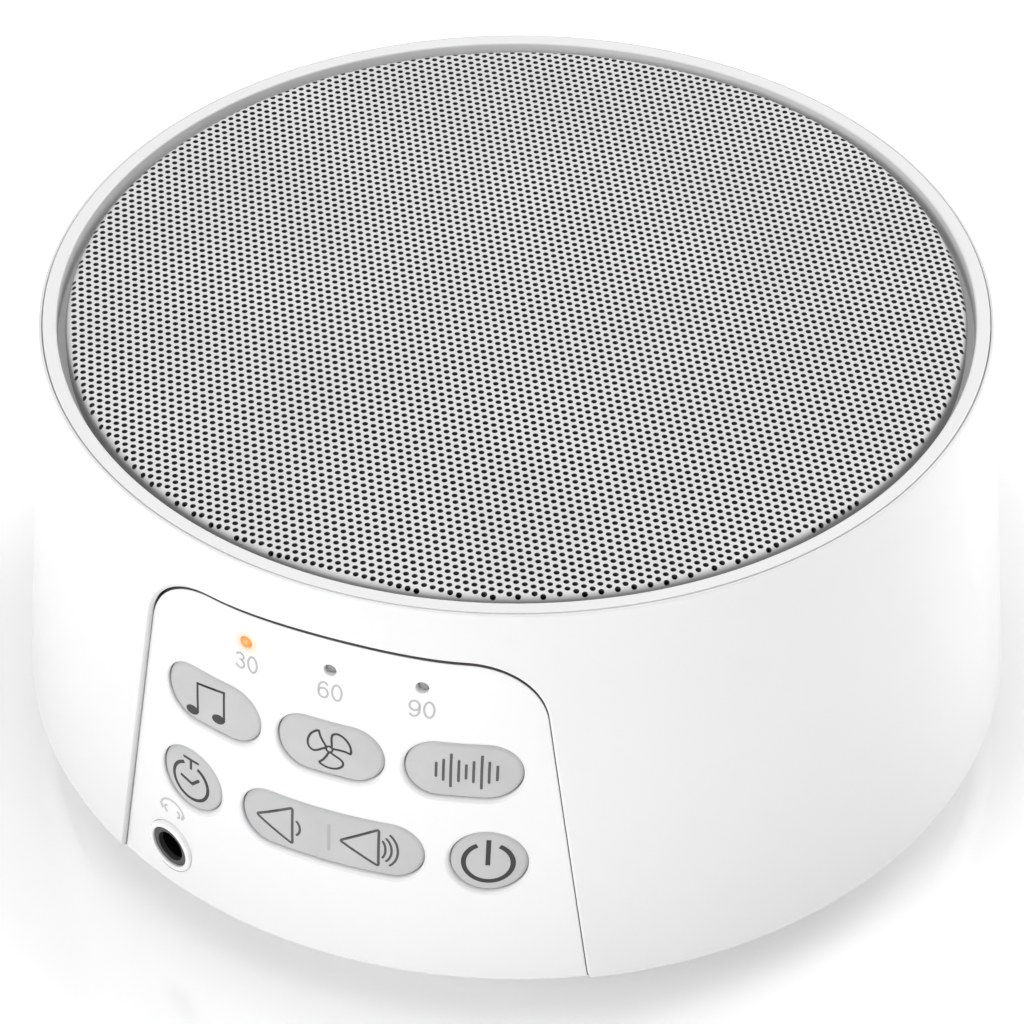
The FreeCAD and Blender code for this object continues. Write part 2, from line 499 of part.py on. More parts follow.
ped.Placement = FreeCAD.Placement(V(0, 0, 0), FreeCAD.Rotation(V(0, 0, 1), -D["jack_angle"])).multiply(ped.Placement)
base_parts.append(ped)
base_parts.append(box("inlet_pedestal", "9", "9", "6.5", (-4.5, 41.0, 2.9)))
for k, (bx, by) in enumerate(((-19, -13), (19, -13), (-19, 21), (19, 21))):
    base_parts.append(cyl("stand_%d" % k, "2.4", "4", V(bx, by, 2.9)))
    base_tools.append(cyl("stand_pilot_%d" % k, "0.8", "4", V(bx, by, 3.6)))
notch = cut("base_notch", window_prism("base_notch_outline", "0.5", "3.0"), cyl("base_notch_core", "51.7", "30"))
base_tools.append(notch)
node(cut("base_cut", fuse("base_solid", *base_parts), fuse("base_tools", *base_tools)), "base_cover")
node(revolved("foot_ring", [("dims.pad_inner", "0"), ("dims.pad_outer", "0"), ("dims.pad_outer", "dims.pad_top"), ("dims.pad_inner", "dims.pad_top")],
              rounds=[("dims.pad_inner", "0", "0.3"), ("dims.pad_outer", "0", "0.3")]), "rubber_foot_ring")
bs = []
for k, (sx, sy) in enumerate(POSTS):
    x, y = sx * D["post_ring"], sy * D["post_ring"]
    head = cyl("base_screw_head_%d" % k, "2.8", "1.7", V(x, y, 1.5))
    shank = cyl("base_screw_shank_%d" % k, "1.35", "11", V(x, y, 3.1))
    s1 = box("base_screw_slot_a%d" % k, "3", "0.6", "0.9", (x - 1.5, y - 0.3, 1.4))
    s2 = box("base_screw_slot_b%d" % k, "0.6", "3", "0.9", (x - 0.3, y - 1.5, 1.4))
    bs.append(cut("base_screw_%d" % k, fuse("base_screw_solid_%d" % k, head, shank), fuse("base_screw_cross_%d" % k, s1, s2)))
node(fuse("base_screw_set", *bs), "base_screws")

# ---------------------------------------------------------------- main board and what is on it
mb = box("main_sheet", "44", "40", "1.6", (-22, -16, 6.9))
mbh = [cyl("main_hole_%d" % k, "1.1", "4", V(bx, by, 6)) for k, (bx, by) in enumerate(((-19, -13), (19, -13), (-19, 21), (19, 21)))]
node(cut("main_cut", mb, fuse("main_holes", *mbh)), "main_board")
ms = []
for k, (bx, by) in enumerate(((-19, -13), (19, -13), (-19, 21), (19, 21))):
    ms.append(fuse("main_screw_%d" % k, cyl("main_screw_head_%d" % k, "1.8", "1.2", V(bx, by, 8.5)), cyl("main_screw_shank_%d" % k, "0.75", "5", V(bx, by, 3.9))))
node(fuse("main_screw_set", *ms), "main_board_screws")
node(box("chip_body", "9", "7", "1.5", (-12, -4, 8.5)), "sound_chip")
node(box("amp_body", "5", "5", "1.2", (4, -8, 8.5)), "amplifier_chip")
caps = [cyl("cap_can_%d" % k, "2.5", "7", V(12, 2 + 7 * k, 8.5)) for k in range(2)]
node(fuse("cap_cans", *caps), "capacitors")
node(box("plug_body", "10", "4", "4.2", (-5, -16, 8.5)), "ribbon_connector")

# flat lead from the main board up to the control board
ribbon = new_body("ribbon")
sk = sketch_on(ribbon, "YZ_Plane", "ribbon_side")
polygon(sk, [("-16", "10"), ("-35", "10"), ("-35", "21"), ("-40.8", "21"), ("-40.8", "20.4"), ("-35.6", "20.4"), ("-35.6", "9.4"), ("-16", "9.4")])
doc.recompute()
pad = ribbon.newObject("PartDesign::Pad", "ribbon_pad")
pad.Profile = sk
pad.Length = 8
pad.Midplane = True
doc.recompute()
node(ribbon, "board_ribbon")

# ---------------------------------------------------------------- power inlet in the back
nose = cyl("inlet_nose_solid", "dims.inlet_nose", "8", V(0, D["inlet_face"] - 8, D["inlet_height"]), V(0, 1, 0))
ibox = box("inlet_box", "9", "10", "9.2", (-4.5, 40.5, D["inlet_height"] - 4.6))
ibore = cyl("inlet_bore_tool", "dims.inlet_bore", "dims.inlet_depth + 1", V(0, D["inlet_face"] - D["inlet_depth"], D["inlet_height"]), V(0, 1, 0))
node(cut("inlet_cut", fuse("inlet_solid", nose, ibox), ibore), "power_inlet")
node(cyl("inlet_pin_solid", "0.95", "dims.inlet_depth - 1", V(0, D["inlet_face"] - D["inlet_depth"], D["inlet_height"]), V(0, 1, 0)), "inlet_pin")

# ---------------------------------------------------------------- check and write
doc.recompute()
bad = [o.Name for o in doc.Objects if "Invalid" in o.State or "Error" in o.State]
if bad:
    raise RuntimeError("failed objects: %s" % bad)
os.makedirs("parts", exist_ok=True)
for f in os.listdir("parts"):
    if f.endswith(".step") and f[:-5] not in [n for n, _ in NODES]:
        os.remove(os.path.join("parts", f))
total = 0.0
for label, obj in NODES:
    shape = obj.Shape
    if shape.isNull() or not shape.isValid() or not shape.Solids:
        raise RuntimeError("bad shape: " + label)
    bb = shape.BoundBox
    print("%-20s solids %d  vol %9.1f  x %.2f..%.2f  y %.2f..%.2f  z %.2f..%.2f" % (
        label, len(shape.Solids), shape.Volume, bb.XMin, bb.XMax, bb.YMin, bb.YMax, bb.ZMin, bb.ZMax))
    shape.exportStep("parts/%s.step" % label)
print(len(NODES), "nodes")
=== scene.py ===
import bpy
import math
import numpy as np
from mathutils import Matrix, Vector
from mathutils.geometry import delaunay_2d_cdt
from mathutils.kdtree import KDTree


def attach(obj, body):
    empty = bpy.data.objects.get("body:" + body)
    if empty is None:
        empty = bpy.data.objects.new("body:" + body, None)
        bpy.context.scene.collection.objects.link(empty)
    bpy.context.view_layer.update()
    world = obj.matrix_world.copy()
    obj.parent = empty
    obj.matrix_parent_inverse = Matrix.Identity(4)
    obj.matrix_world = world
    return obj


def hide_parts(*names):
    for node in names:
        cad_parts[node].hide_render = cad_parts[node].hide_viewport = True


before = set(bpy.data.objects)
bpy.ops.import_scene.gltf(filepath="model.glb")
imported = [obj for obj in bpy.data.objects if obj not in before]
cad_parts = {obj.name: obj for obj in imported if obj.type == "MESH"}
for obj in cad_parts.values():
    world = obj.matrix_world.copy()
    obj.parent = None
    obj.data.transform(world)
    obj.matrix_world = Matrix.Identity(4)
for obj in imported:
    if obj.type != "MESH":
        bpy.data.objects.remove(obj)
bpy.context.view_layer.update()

# ------------------------------------------------------------------ camera
AZ, EL = math.radians(21.22), math.radians(40.158)
cam_data = bpy.data.cameras.new("view")
cam = bpy.data.objects.new("view", cam_data)
bpy.context.scene.collection.objects.link(cam)
cam.location = (0.1302, -0.3354, 0.3288)
cam.rotation_euler = (math.pi / 2 - EL, 0.0, AZ)
cam_data.lens, cam_data.sensor_width = 146.38, 36.0
cam_data.shift_x = -0.00407
cam_data.clip_start, cam_data.clip_end = 0.01, 20.0
bpy.context.scene.camera = cam

# ------------------------------------------------------------------ sizes, millimetres
H, ZB, RT, RB = 55.4, 6.6, 51.6, 56.0
SL = (RB - RT) / 48.8
NR, NZ = 1 / math.hypot(1, SL), SL / math.hypot(1, SL)
TILT = math.atan2(NZ, NR)


def R(z):
    return RT + SL * (H - z)


# ------------------------------------------------------------------ mesh tools
class Build:
    """Collects patches with their own normals and welds them into one mesh with clean creases."""

    def __init__(self):
        self.V, self.N, self.T, self.M, self.n = [], [], [], [], 0

    def add(self, V, T, N, mat=0):
        V, N, T = np.asarray(V, float), np.asarray(N, float), np.asarray(T, int).reshape(-1, 3)
        self.V.append(V)
        self.N.append(N)
        self.T.append(T + self.n)
        self.M.append(np.full(len(T), mat))
        self.n += len(V)

    def strip(self, A, NA, B, NB, closed=True, mat=0):
        A, B = np.asarray(A, float), np.asarray(B, float)
        n = len(A)
        i = np.arange(n if closed else n - 1)
        j = (i + 1) % n
        T = np.vstack([np.stack([i, j, j + n], 1), np.stack([i, j + n, i + n], 1)])
        self.add(np.vstack([A, B]), T, np.vstack([NA, NB]), mat)

    def rows(self, G, N, closed=True, mat=0):
        for k in range(len(G) - 1):
            self.strip(G[k], N[k], G[k + 1], N[k + 1], closed, mat)

    def data(self, step=1e-4):
        V, N, T, M = np.vstack(self.V), np.vstack(self.N), np.vstack(self.T), np.concatenate(self.M)
        length = np.linalg.norm(N, axis=1)
        N = N / np.where(length < 1e-12, 1, length)[:, None]
        face = np.cross(V[T[:, 1]] - V[T[:, 0]], V[T[:, 2]] - V[T[:, 0]])
        flip = (face * N[T].sum(1)).sum(1) < 0
        T[flip] = T[flip][:, ::-1]
        _, first, back = np.unique(np.round(V / step).astype(np.int64), axis=0, return_index=True, return_inverse=True)
        back = np.asarray(back).reshape(-1)
        W = back[T]
        keep = (W[:, 0] != W[:, 1]) & (W[:, 1] != W[:, 2]) & (W[:, 0] != W[:, 2]) & (np.linalg.norm(face, axis=1) > 1e-9)
        return V[first], W[keep], N[T[keep]].reshape(-1, 3), M[keep]

    def done(self, name, mats, body, nodes=(), smooth=True):
        V, T, L, M = self.data()
        me = bpy.data.meshes.new(name)
        me.vertices.add(len(V))
        me.vertices.foreach_set("co", (V * 0.001).astype(np.float32).ravel())
        me.loops.add(len(T) * 3)
        me.loops.foreach_set("vertex_index", T.astype(np.int32).ravel())
        me.polygons.add(len(T))
        me.polygons.foreach_set("loop_start", np.arange(0, len(T) * 3, 3, dtype=np.int32))
        me.polygons.foreach_set("loop_total", np.full(len(T), 3, np.int32))
        for m in (mats if isinstance(mats, (list, tuple)) else [mats]):
            me.materials.append(m)
        me.polygons.foreach_set("material_index", M.astype(np.int32))
        me.update(calc_edges=True)
        me.polygons.foreach_set("use_smooth", np.full(len(T), smooth, bool))
        if smooth:
            me.normals_split_custom_set(L.tolist())
        ob = bpy.data.objects.new(name, me)
        bpy.context.scene.collection.objects.link(ob)
        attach(ob, body)
        if nodes:
            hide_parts(*nodes)
        print("piece", name, len(T))
        return ob


def within(C, loops):
    """Even-odd test of points against closed loops."""
    r = np.zeros(len(C), bool)
    for L in loops:
        a, b = L, np.roll(L, -1, 0)
        for s in range(0, len(C), 3000):
            x, y = C[s:s + 3000, 0][:, None], C[s:s + 3000, 1][:, None]
            span = (a[:, 1] > y) != (b[:, 1] > y)
            dy = np.where(b[:, 1] == a[:, 1], 1e-12, b[:, 1] - a[:, 1])
            hit = span & (x < a[:, 0] + (y - a[:, 1]) / dy * (b[:, 0] - a[:, 0]))
            r[s:s + 3000] ^= hit.sum(1) % 2 == 1
    return r


def apart(P, loops, gap):
    """The points of P that keep a distance from all loops."""
    pts = []
    for L in loops:
        for a, b in zip(L, np.roll(L, -1, 0)):
            k = max(1, int(math.hypot(*(b - a)) / gap))
            pts += [a + (b - a) * t / k for t in range(k)]
    tree = KDTree(len(pts))
    for i, p in enumerate(pts):
        tree.insert((p[0], p[1], 0), i)
    tree.balance()
    return np.array([p for p in P if tree.find((p[0], p[1], 0))[2] > gap * 0.6]).reshape(-1, 2)


def cdt(loops, points, union=None):
    """Triangles inside the loops (even-odd, or inside any of the union's loops). Gives points, triangles and each point's input number."""
    flat, edges = [], []
    for L in loops:
        k, m = len(flat), len(L)
        flat += [tuple(p) for p in L]
        edges += [(k + i, k + (i + 1) % m) for i in range(m)]
    flat += [tuple(p) for p in points]
    out = delaunay_2d_cdt([Vector(p) for p in flat], edges, [], 0, 1e-5, True)
    P = np.array([flat[o[0]] if len(o) else (c.x, c.y) for o, c in zip(out[3], out[0])])
    ids = np.array([o[0] if len(o) else -1 for o in out[3]])
    T = np.array([f for f in out[2] if len(f) == 3]).reshape(-1, 3)
    C = P[T].mean(1)
    if union:
        ok = np.zeros(len(C), bool)
        for L in union:
            ok |= within(C, [L])
    else:
        ok = within(C, loops)
    return P, T[ok], ids


def grid_normals(G, closed, toward):
    """Normals of a grid of points, turned to the side that toward gives for each row."""
    a = np.gradient(G, axis=0)
    b = np.roll(G, -1, 1) - np.roll(G, 1, 1) if closed else np.gradient(G, axis=1)
    N = np.cross(a, b)
    N /= np.maximum(np.linalg.norm(N, axis=2), 1e-12)[:, :, None]
    s = np.sign((N * toward).sum(2))
    return N * np.where(s == 0, 1, s)[:, :, None]


def rounded(corners, arc=6):
    """Closed (radius, height, round) profile as points with outward normals."""
    P = [np.array(c[:2], float) for c in corners]
    n = len(P)
    area = sum(P[i][0] * P[(i + 1) % n][1] - P[(i + 1) % n][0] * P[i][1] for i in range(n))
    sg = 1 if area > 0 else -1
    out = []
    for i in range(n):
        p, a, b, f = P[i], P[i - 1], P[(i + 1) % n], corners[i][2] if len(corners[i]) > 2 else 0
        u, v = (p - a) / np.linalg.norm(p - a), (b - p) / np.linalg.norm(b - p)
        nu, nv = sg * np.array([u[1], -u[0]]), sg * np.array([v[1], -v[0]])
        if f <= 0:
            out += [(p, nu), (p, nv)]
            continue
        turn = math.acos(max(-1, min(1, float(u @ v))))
        t = f * math.tan(turn / 2)
        cross = u[0] * v[1] - u[1] * v[0]
        convex = cross * sg > 0
        c = p - u * t - nu * f * (1 if convex else -1)
        for k in range(arc + 1):
            w = k / arc
            m = nu * math.sin((1 - w) * turn) + nv * math.sin(w * turn)
            m = m / np.linalg.norm(m)
            out.append((c + m * f * (1 if convex else -1), m))
    return out


def turn(B, corners, segs=360, arc=6, origin=(0, 0, 0), axis=(0, 0, 1), mat=0, mats=None):
    prof = rounded(corners, arc)
    ax = np.array(axis, float)
    ax /= np.linalg.norm(ax)
    e1 = np.array([1.0, 0, 0]) if abs(ax[2]) > 0.9 else np.cross([0, 0, 1.0], ax)
    e1 /= np.linalg.norm(e1)
    e2 = np.cross(ax, e1)
    th = np.linspace(0, 2 * math.pi, segs, endpoint=False)
    ring = np.cos(th)[:, None] * e1 + np.sin(th)[:, None] * e2
    o = np.array(origin, float)
    prof.append(prof[0])
    for (p, a), (q, b) in zip(prof, prof[1:]):
        if np.linalg.norm(p - q) < 1e-7:
            continue
        B.strip(o + ring * p[0] + ax * p[1], ring * a[0] + ax * a[1], o + ring * q[0] + ax * q[1], ring * b[0] + ax * b[1], True, mat)


# ------------------------------------------------------------------ materials
def fresh(name):
    m = bpy.data.materials.new(name)
    m.use_nodes = True
    t = m.node_tree
    return m, t, t.nodes["Principled BSDF"]


def noise(t, scale, detail=4.0, rough=0.55, coords="Object", stretch=None):
    tc = t.nodes.new("ShaderNodeTexCoord")
    n = t.nodes.new("ShaderNodeTexNoise")
    n.inputs["Scale"].default_value = scale
    n.inputs["Detail"].default_value = detail
    n.inputs["Roughness"].default_value = rough
    if stretch:
        mp = t.nodes.new("ShaderNodeMapping")
        mp.inputs["Scale"].default_value = stretch
        t.links.new(tc.outputs[coords], mp.inputs["Vector"])
        t.links.new(mp.outputs["Vector"], n.inputs["Vector"])
    else:
        t.links.new(tc.outputs[coords], n.inputs["Vector"])
    return n


def ramp(t, source, stops):
    r = t.nodes.new("ShaderNodeValToRGB")
    r.color_ramp.elements[0].position, r.color_ramp.elements[0].color = stops[0][0], (*stops[0][1], 1)
    r.color_ramp.elements[1].position, r.color_ramp.elements[1].color = stops[-1][0], (*stops[-1][1], 1)
    for p, c in stops[1:-1]:
        e = r.color_ramp.elements.new(p)
        e.color = (*c, 1)
    t.links.new(source, r.inputs["Fac"])
    return r


def span(t, source, lo, hi):
    r = t.nodes.new("ShaderNodeMapRange")
    r.inputs["To Min"].default_value, r.inputs["To Max"].default_value = lo, hi
    t.links.new(source, r.inputs["Value"])
    return r.outputs["Result"]


def bump(t, bsdf, height, strength, distance=0.00005):
    b = t.nodes.new("ShaderNodeBump")
    b.inputs["Strength"].default_value = strength
    b.inputs["Distance"].default_value = distance
    t.links.new(height, b.inputs["Height"])
    t.links.new(b.outputs["Normal"], bsdf.inputs["Normal"])
    return b


def surface(name, dark, light, rough, scale=900.0, grain=0.15, distance=0.00003, metallic=0.0, specular=0.5, patches=35.0, coat=0.0):
    """Base finish: slow colour drift, finer roughness change and a fine grain."""
    m, t, b = fresh(name)
    slow = noise(t, patches, 3.0)
    t.links.new(ramp(t, slow.outputs["Fac"], [(0.3, dark), (0.7, light)]).outputs["Color"], b.inputs["Base Color"])
    fine = noise(t, scale, 3.0, 0.6)
    mid = noise(t, scale * 0.12, 4.0)
    t.links.new(span(t, mid.outputs["Fac"], rough[0], rough[1]), b.inputs["Roughness"])
    bump(t, b, fine.outputs["Fac"], grain, distance)
    b.inputs["Metallic"].default_value = metallic
    b.inputs["Specular IOR Level"].default_value = specular
    if coat:
        b.inputs["Coat Weight"].default_value = coat
        b.inputs["Coat Roughness"].default_value = 0.12
    return m


def g(v):
    return (v, v, v)


def paint_shade_along(m, axis, a, b, va, vb):
    """Paints shade into a finish along one axis of the object: the colour is scaled from va at a to vb at b (metres).
    """
    t = m.node_tree
    p = t.nodes["Principled BSDF"]
    source = p.inputs["Base Color"].links[0].from_socket
    tc = t.nodes.new("ShaderNodeTexCoord")
    part = t.nodes.new("ShaderNodeSeparateXYZ")
    t.links.new(tc.outputs["Object"], part.inputs[0])
    mr = t.nodes.new("ShaderNodeMapRange")
    mr.inputs["From Min"].default_value, mr.inputs["From Max"].default_value = a, b
    mr.inputs["To Min"].default_value, mr.inputs["To Max"].default_value = va, vb
    t.links.new(part.outputs[axis], mr.inputs["Value"])
    k = t.nodes.new("ShaderNodeVectorMath")
    k.operation = "SCALE"
    t.links.new(source, k.inputs[0])
    t.links.new(mr.outputs["Result"], k.inputs["Scale"])
    t.links.new(k.outputs["Vector"], p.inputs["Base Color"])
    return m


M = {}
M["body"] = surface("body_white_abs", (0.825, 0.827, 0.831), (0.85, 0.851, 0.855), (0.30, 0.42), 1500, 0.10, 0.00002)
M["bezel"] = surface("bezel_white_abs", (0.905, 0.906, 0.908), (0.925, 0.926, 0.928), (0.32, 0.45), 1500, 0.10, 0.00002)
M["collar"] = surface("collar_white_abs", (0.90, 0.90, 0.90), (0.93, 0.93, 0.93), (0.22, 0.32), 1500, 0.08, 0.00002)
M["base"] = surface("base_white_abs", (0.72, 0.72, 0.725), (0.77, 0.77, 0.775), (0.5, 0.62), 2200, 0.5, 0.00006)
M["grille"] = surface("powder_coat_white", (0.76, 0.76, 0.76), (0.82, 0.82, 0.82), (0.36, 0.5), 5200, 0.35, 0.00003, patches=60)
# rolled edge of the grille: painted shade, the white scaled down to 0.38 where the roll turns down
M["roll"] = paint_shade_along(surface("powder_coat_roll_painted_shade", (0.76, 0.76, 0.76), (0.82, 0.82, 0.82), (0.36, 0.5), 5200, 0.35, 0.00003, patches=60), "Z", 0.0546, 0.05512, 0.38, 1.0)
# walls of the grille holes: near black, painted shade inside the holes
M["punched"] = surface("punched_edge", g(0.055), g(0.095), (0.5, 0.7), 5200, 0.3)
# window wall and fillet of the shell: the body white with painted shade, darker towards the left side (to 0.77)
M["recess"] = paint_shade_along(surface("body_recess_abs", (0.825, 0.827, 0.831), (0.85, 0.851, 0.855), (0.34, 0.46), 1500, 0.10, 0.00002), "X", -0.0212, -0.0150, 0.77, 1.0)
# rounding of the panel around the keys: a darker copy of the panel white, painted shade
M["rims"] = surface("panel_rim_painted_shade", (0.80, 0.802, 0.806), (0.83, 0.832, 0.835), (0.34, 0.44), 1500, 0.08, 0.00002)
# panel edge wall and flange behind the window: near black, painted shade of the joint
M["seal"] = surface("panel_seal", g(0.08), g(0.12), (0.6, 0.8), 3500, 0.5)
M["key"] = surface("key_silicone_grey", (0.520, 0.522, 0.525), (0.56, 0.562, 0.565), (0.46, 0.58), 2600, 0.35, 0.00003, specular=0.4, patches=220)
M["carbon"] = surface("carbon_pill", g(0.02), g(0.035), (0.5, 0.7), 3000, 0.3)
M["mat"] = surface("mat_silicone", g(0.42), g(0.48), (0.45, 0.6), 2000, 0.3)
M["ink"] = surface("key_ink", g(0.016), g(0.028), (0.4, 0.55), 4000, 0.25)
M["ink_soft"] = surface("key_ink_soft", g(0.065), g(0.095), (0.4, 0.55), 4000, 0.25)
M["digit"] = surface("digit_grey", g(0.40), g(0.50), (0.42, 0.55), 4000, 0.25)
M["faint"] = surface("faint_grey", g(0.52), g(0.62), (0.42, 0.55), 4000, 0.25)
# grey film drawn for the rocker's divider groove: painted shade of the groove
M["groove"] = surface("groove_grey", g(0.40), g(0.45), (0.5, 0.6), 4000, 0.25)
M["jack"] = surface("jack_black", (0.045, 0.045, 0.047), (0.058, 0.058, 0.06), (0.34, 0.46), 3000, 0.25)
# inside of the socket bore: darker than the jack's black, painted shade in the hole
M["jack_dark"] = surface("jack_bore_inside_painted_shade", g(0.002), g(0.004), (0.6, 0.75), 3000, 0.25, specular=0.1)
M["dark"] = surface("moulded_black", g(0.018), g(0.028), (0.35, 0.5), 3000, 0.3)
M["foot"] = surface("foot_rubber", (0.10, 0.10, 0.103), (0.14, 0.14, 0.143), (0.6, 0.75), 2500, 0.6, 0.00006)
M["steel"] = surface("zinc_steel", g(0.48), g(0.62), (0.25, 0.42), 1800, 0.3, metallic=1.0)
M["ferrite"] = surface("ferrite_dark", g(0.028), g(0.05), (0.5, 0.7), 1600, 0.5, 0.00006)
M["paper"] = surface("cone_pulp", (0.022, 0.021, 0.02), (0.05, 0.048, 0.045), (0.6, 0.8), 1400, 0.8, 0.00008)
M["rubber"] = surface("surround_rubber", g(0.012), g(0.022), (0.38, 0.5), 2500, 0.3)
M["foam"] = surface("gasket_foam", g(0.012), g(0.03), (0.8, 0.95), 3500, 1.0, 0.0001)
M["board"] = surface("solder_mask", (0.008, 0.09, 0.035), (0.012, 0.13, 0.05), (0.25, 0.4), 900, 0.3)
M["lamp"] = surface("lamp_cream", (0.70, 0.66, 0.52), (0.78, 0.74, 0.6), (0.3, 0.42), 3000, 0.2)
M["ribbon"] = surface("ribbon_white", g(0.62), g(0.7), (0.35, 0.45), 2000, 0.2)
M["can"] = surface("capacitor_sleeve", (0.03, 0.035, 0.07), (0.05, 0.055, 0.10), (0.25, 0.35), 2000, 0.2)


def woven(name, dark, light, pitch, rough=(0.75, 0.95)):
    m, t, b = fresh(name)
    tc = t.nodes.new("ShaderNodeTexCoord")
    waves = []
    for turned in (0.0, math.pi / 2):
        mp = t.nodes.new("ShaderNodeMapping")
        mp.inputs["Rotation"].default_value = (0, 0, turned)
        w = t.nodes.new("ShaderNodeTexWave")
        w.inputs["Scale"].default_value = 0.31831 / pitch / 2
        w.inputs["Distortion"].default_value = 0.6
        w.inputs["Detail"].default_value = 1.0
        t.links.new(tc.outputs["Object"], mp.inputs["Vector"])
        t.links.new(mp.outputs["Vector"], w.inputs["Vector"])
        waves.append(w)
    mx = t.nodes.new("ShaderNodeMath")
    mx.operation = "MAXIMUM"
    t.links.new(waves[0].outputs["Fac"], mx.inputs[0])
    t.links.new(waves[1].outputs["Fac"], mx.inputs[1])
    t.links.new(ramp(t, mx.outputs["Value"], [(0.35, dark), (0.95, light)]).outputs["Color"], b.inputs["Base Color"])
    t.links.new(span(t, mx.outputs["Value"], rough[0], rough[1]), b.inputs["Roughness"])
    b.inputs["Specular IOR Level"].default_value = 0.2
    bump(t, b, mx.outputs["Value"], 0.8, 0.00008)
    return m


M["scrim"] = woven("scrim_weave", g(0.012), g(0.05), 0.00035)
M["spider"] = woven("spider_weave", (0.35, 0.22, 0.07), (0.6, 0.42, 0.18), 0.0006)

# copper winding: fine turns around the coil
m, t, b = fresh("coil_winding")
tc = t.nodes.new("ShaderNodeTexCoord")
w = t.nodes.new("ShaderNodeTexWave")
w.bands_direction = "Z"
w.inputs["Scale"].default_value = 900.0
t.links.new(tc.outputs["Object"], w.inputs["Vector"])
t.links.new(ramp(t, w.outputs["Fac"], [(0.1, (0.28, 0.10, 0.04)), (0.8, (0.85, 0.42, 0.22))]).outputs["Color"], b.inputs["Base Color"])
t.links.new(span(t, w.outputs["Fac"], 0.45, 0.25), b.inputs["Roughness"])
b.inputs["Metallic"].default_value = 1.0
bump(t, b, w.outputs["Fac"], 0.7, 0.00005)
M["coil"] = m

LED = [(-9.78, 44.9), (-0.08, 45.0), (9.62, 45.05)]


def led_point(k, inset):
    x, z = LED[k]
    return Vector((x, -math.sqrt((R(z) - inset) ** 2 - x * x), z)) * 0.001


# panel: the same white, with painted glow around the lit lamp: an orange tint and emission in the plastic stand in for
# the lamp's halo
M["panel"] = surface("panel_white_abs", (0.875, 0.876, 0.878), (0.895, 0.896, 0.898), (0.32, 0.42), 1500, 0.08, 0.00002)
t = M["panel"].node_tree
b = t.nodes["Principled BSDF"]
tc = t.nodes.new("ShaderNodeTexCoord")
dist = t.nodes.new("ShaderNodeVectorMath")
dist.operation = "DISTANCE"
t.links.new(tc.outputs["Object"], dist.inputs[0])
dist.inputs[1].default_value = led_point(0, 0.8)
r = ramp(t, dist.outputs["Value"], [(0.0, (1.0, 0.40, 0.06)), (1.0, (0, 0, 0))])
mr = t.nodes.new("ShaderNodeMapRange")
mr.inputs["From Min"].default_value, mr.inputs["From Max"].default_value = 0.0004, 0.0017
t.links.new(dist.outputs["Value"], mr.inputs["Value"])
t.links.new(mr.outputs["Result"], r.inputs["Fac"])
r.color_ramp.interpolation = "EASE"
r.color_ramp.elements[0].color = (0.55, 0.25, 0.06, 1)
e = r.color_ramp.elements.new(0.35)
e.color = (0.12, 0.055, 0.018, 1)
old = [n for n in t.nodes if n.type == "VALTORGB" and n is not r][0]
painted_glow_tint = t.nodes.new("ShaderNodeMix")
painted_glow_tint.data_type = "RGBA"
t.links.new(mr.outputs["Result"], painted_glow_tint.inputs["Factor"])
painted_glow_tint.inputs["A"].default_value = (0.95, 0.62, 0.36, 1)
t.links.new(old.outputs["Color"], painted_glow_tint.inputs["B"])
t.links.new(painted_glow_tint.outputs["Result"], b.inputs["Base Color"])
t.links.new(r.outputs["Color"], b.inputs["Emission Color"])
b.inputs["Emission Strength"].default_value = 0.42

# light pipes
m, t, b = fresh("light_lit_amber")
tc = t.nodes.new("ShaderNodeTexCoord")
dist = t.nodes.new("ShaderNodeVectorMath")
dist.operation = "DISTANCE"
t.links.new(tc.outputs["Object"], dist.inputs[0])
dist.inputs[1].default_value = led_point(0, 0.9)
mr = t.nodes.new("ShaderNodeMapRange")
mr.inputs["From Max"].default_value = 0.0007
t.links.new(dist.outputs["Value"], mr.inputs["Value"])
glow = ramp(t, mr.outputs["Result"], [(0.0, (1.0, 0.46, 0.15)), (0.45, (1.0, 0.38, 0.09)), (1.0, (0.85, 0.22, 0.02))])
t.links.new(glow.outputs["Color"], b.inputs["Emission Color"])
half_tone = t.nodes.new("ShaderNodeVectorMath")
half_tone.operation = "SCALE"
half_tone.inputs["Scale"].default_value = 0.5
t.links.new(glow.outputs["Color"], half_tone.inputs[0])
t.links.new(half_tone.outputs["Vector"], b.inputs["Base Color"])
b.inputs["Emission Strength"].default_value = 0.70
b.inputs["Roughness"].default_value = 0.3
M["lit"] = m
M["unlit"] = surface("light_smoked", g(0.20), g(0.26), (0.2, 0.32), 3000, 0.15)


# ------------------------------------------------------------------ outlines in the front view (x, z)
SLOPE = (27.6 - 21.1) / (49.1 - 3.4)
SS = math.hypot(1, SLOPE)
ARCH = 0.45      # rise of the window's top edge in its middle


def half(z, grow=0.0):
    return 21.1 + 1.01 * grow + SLOPE * (49.1 + grow - z)


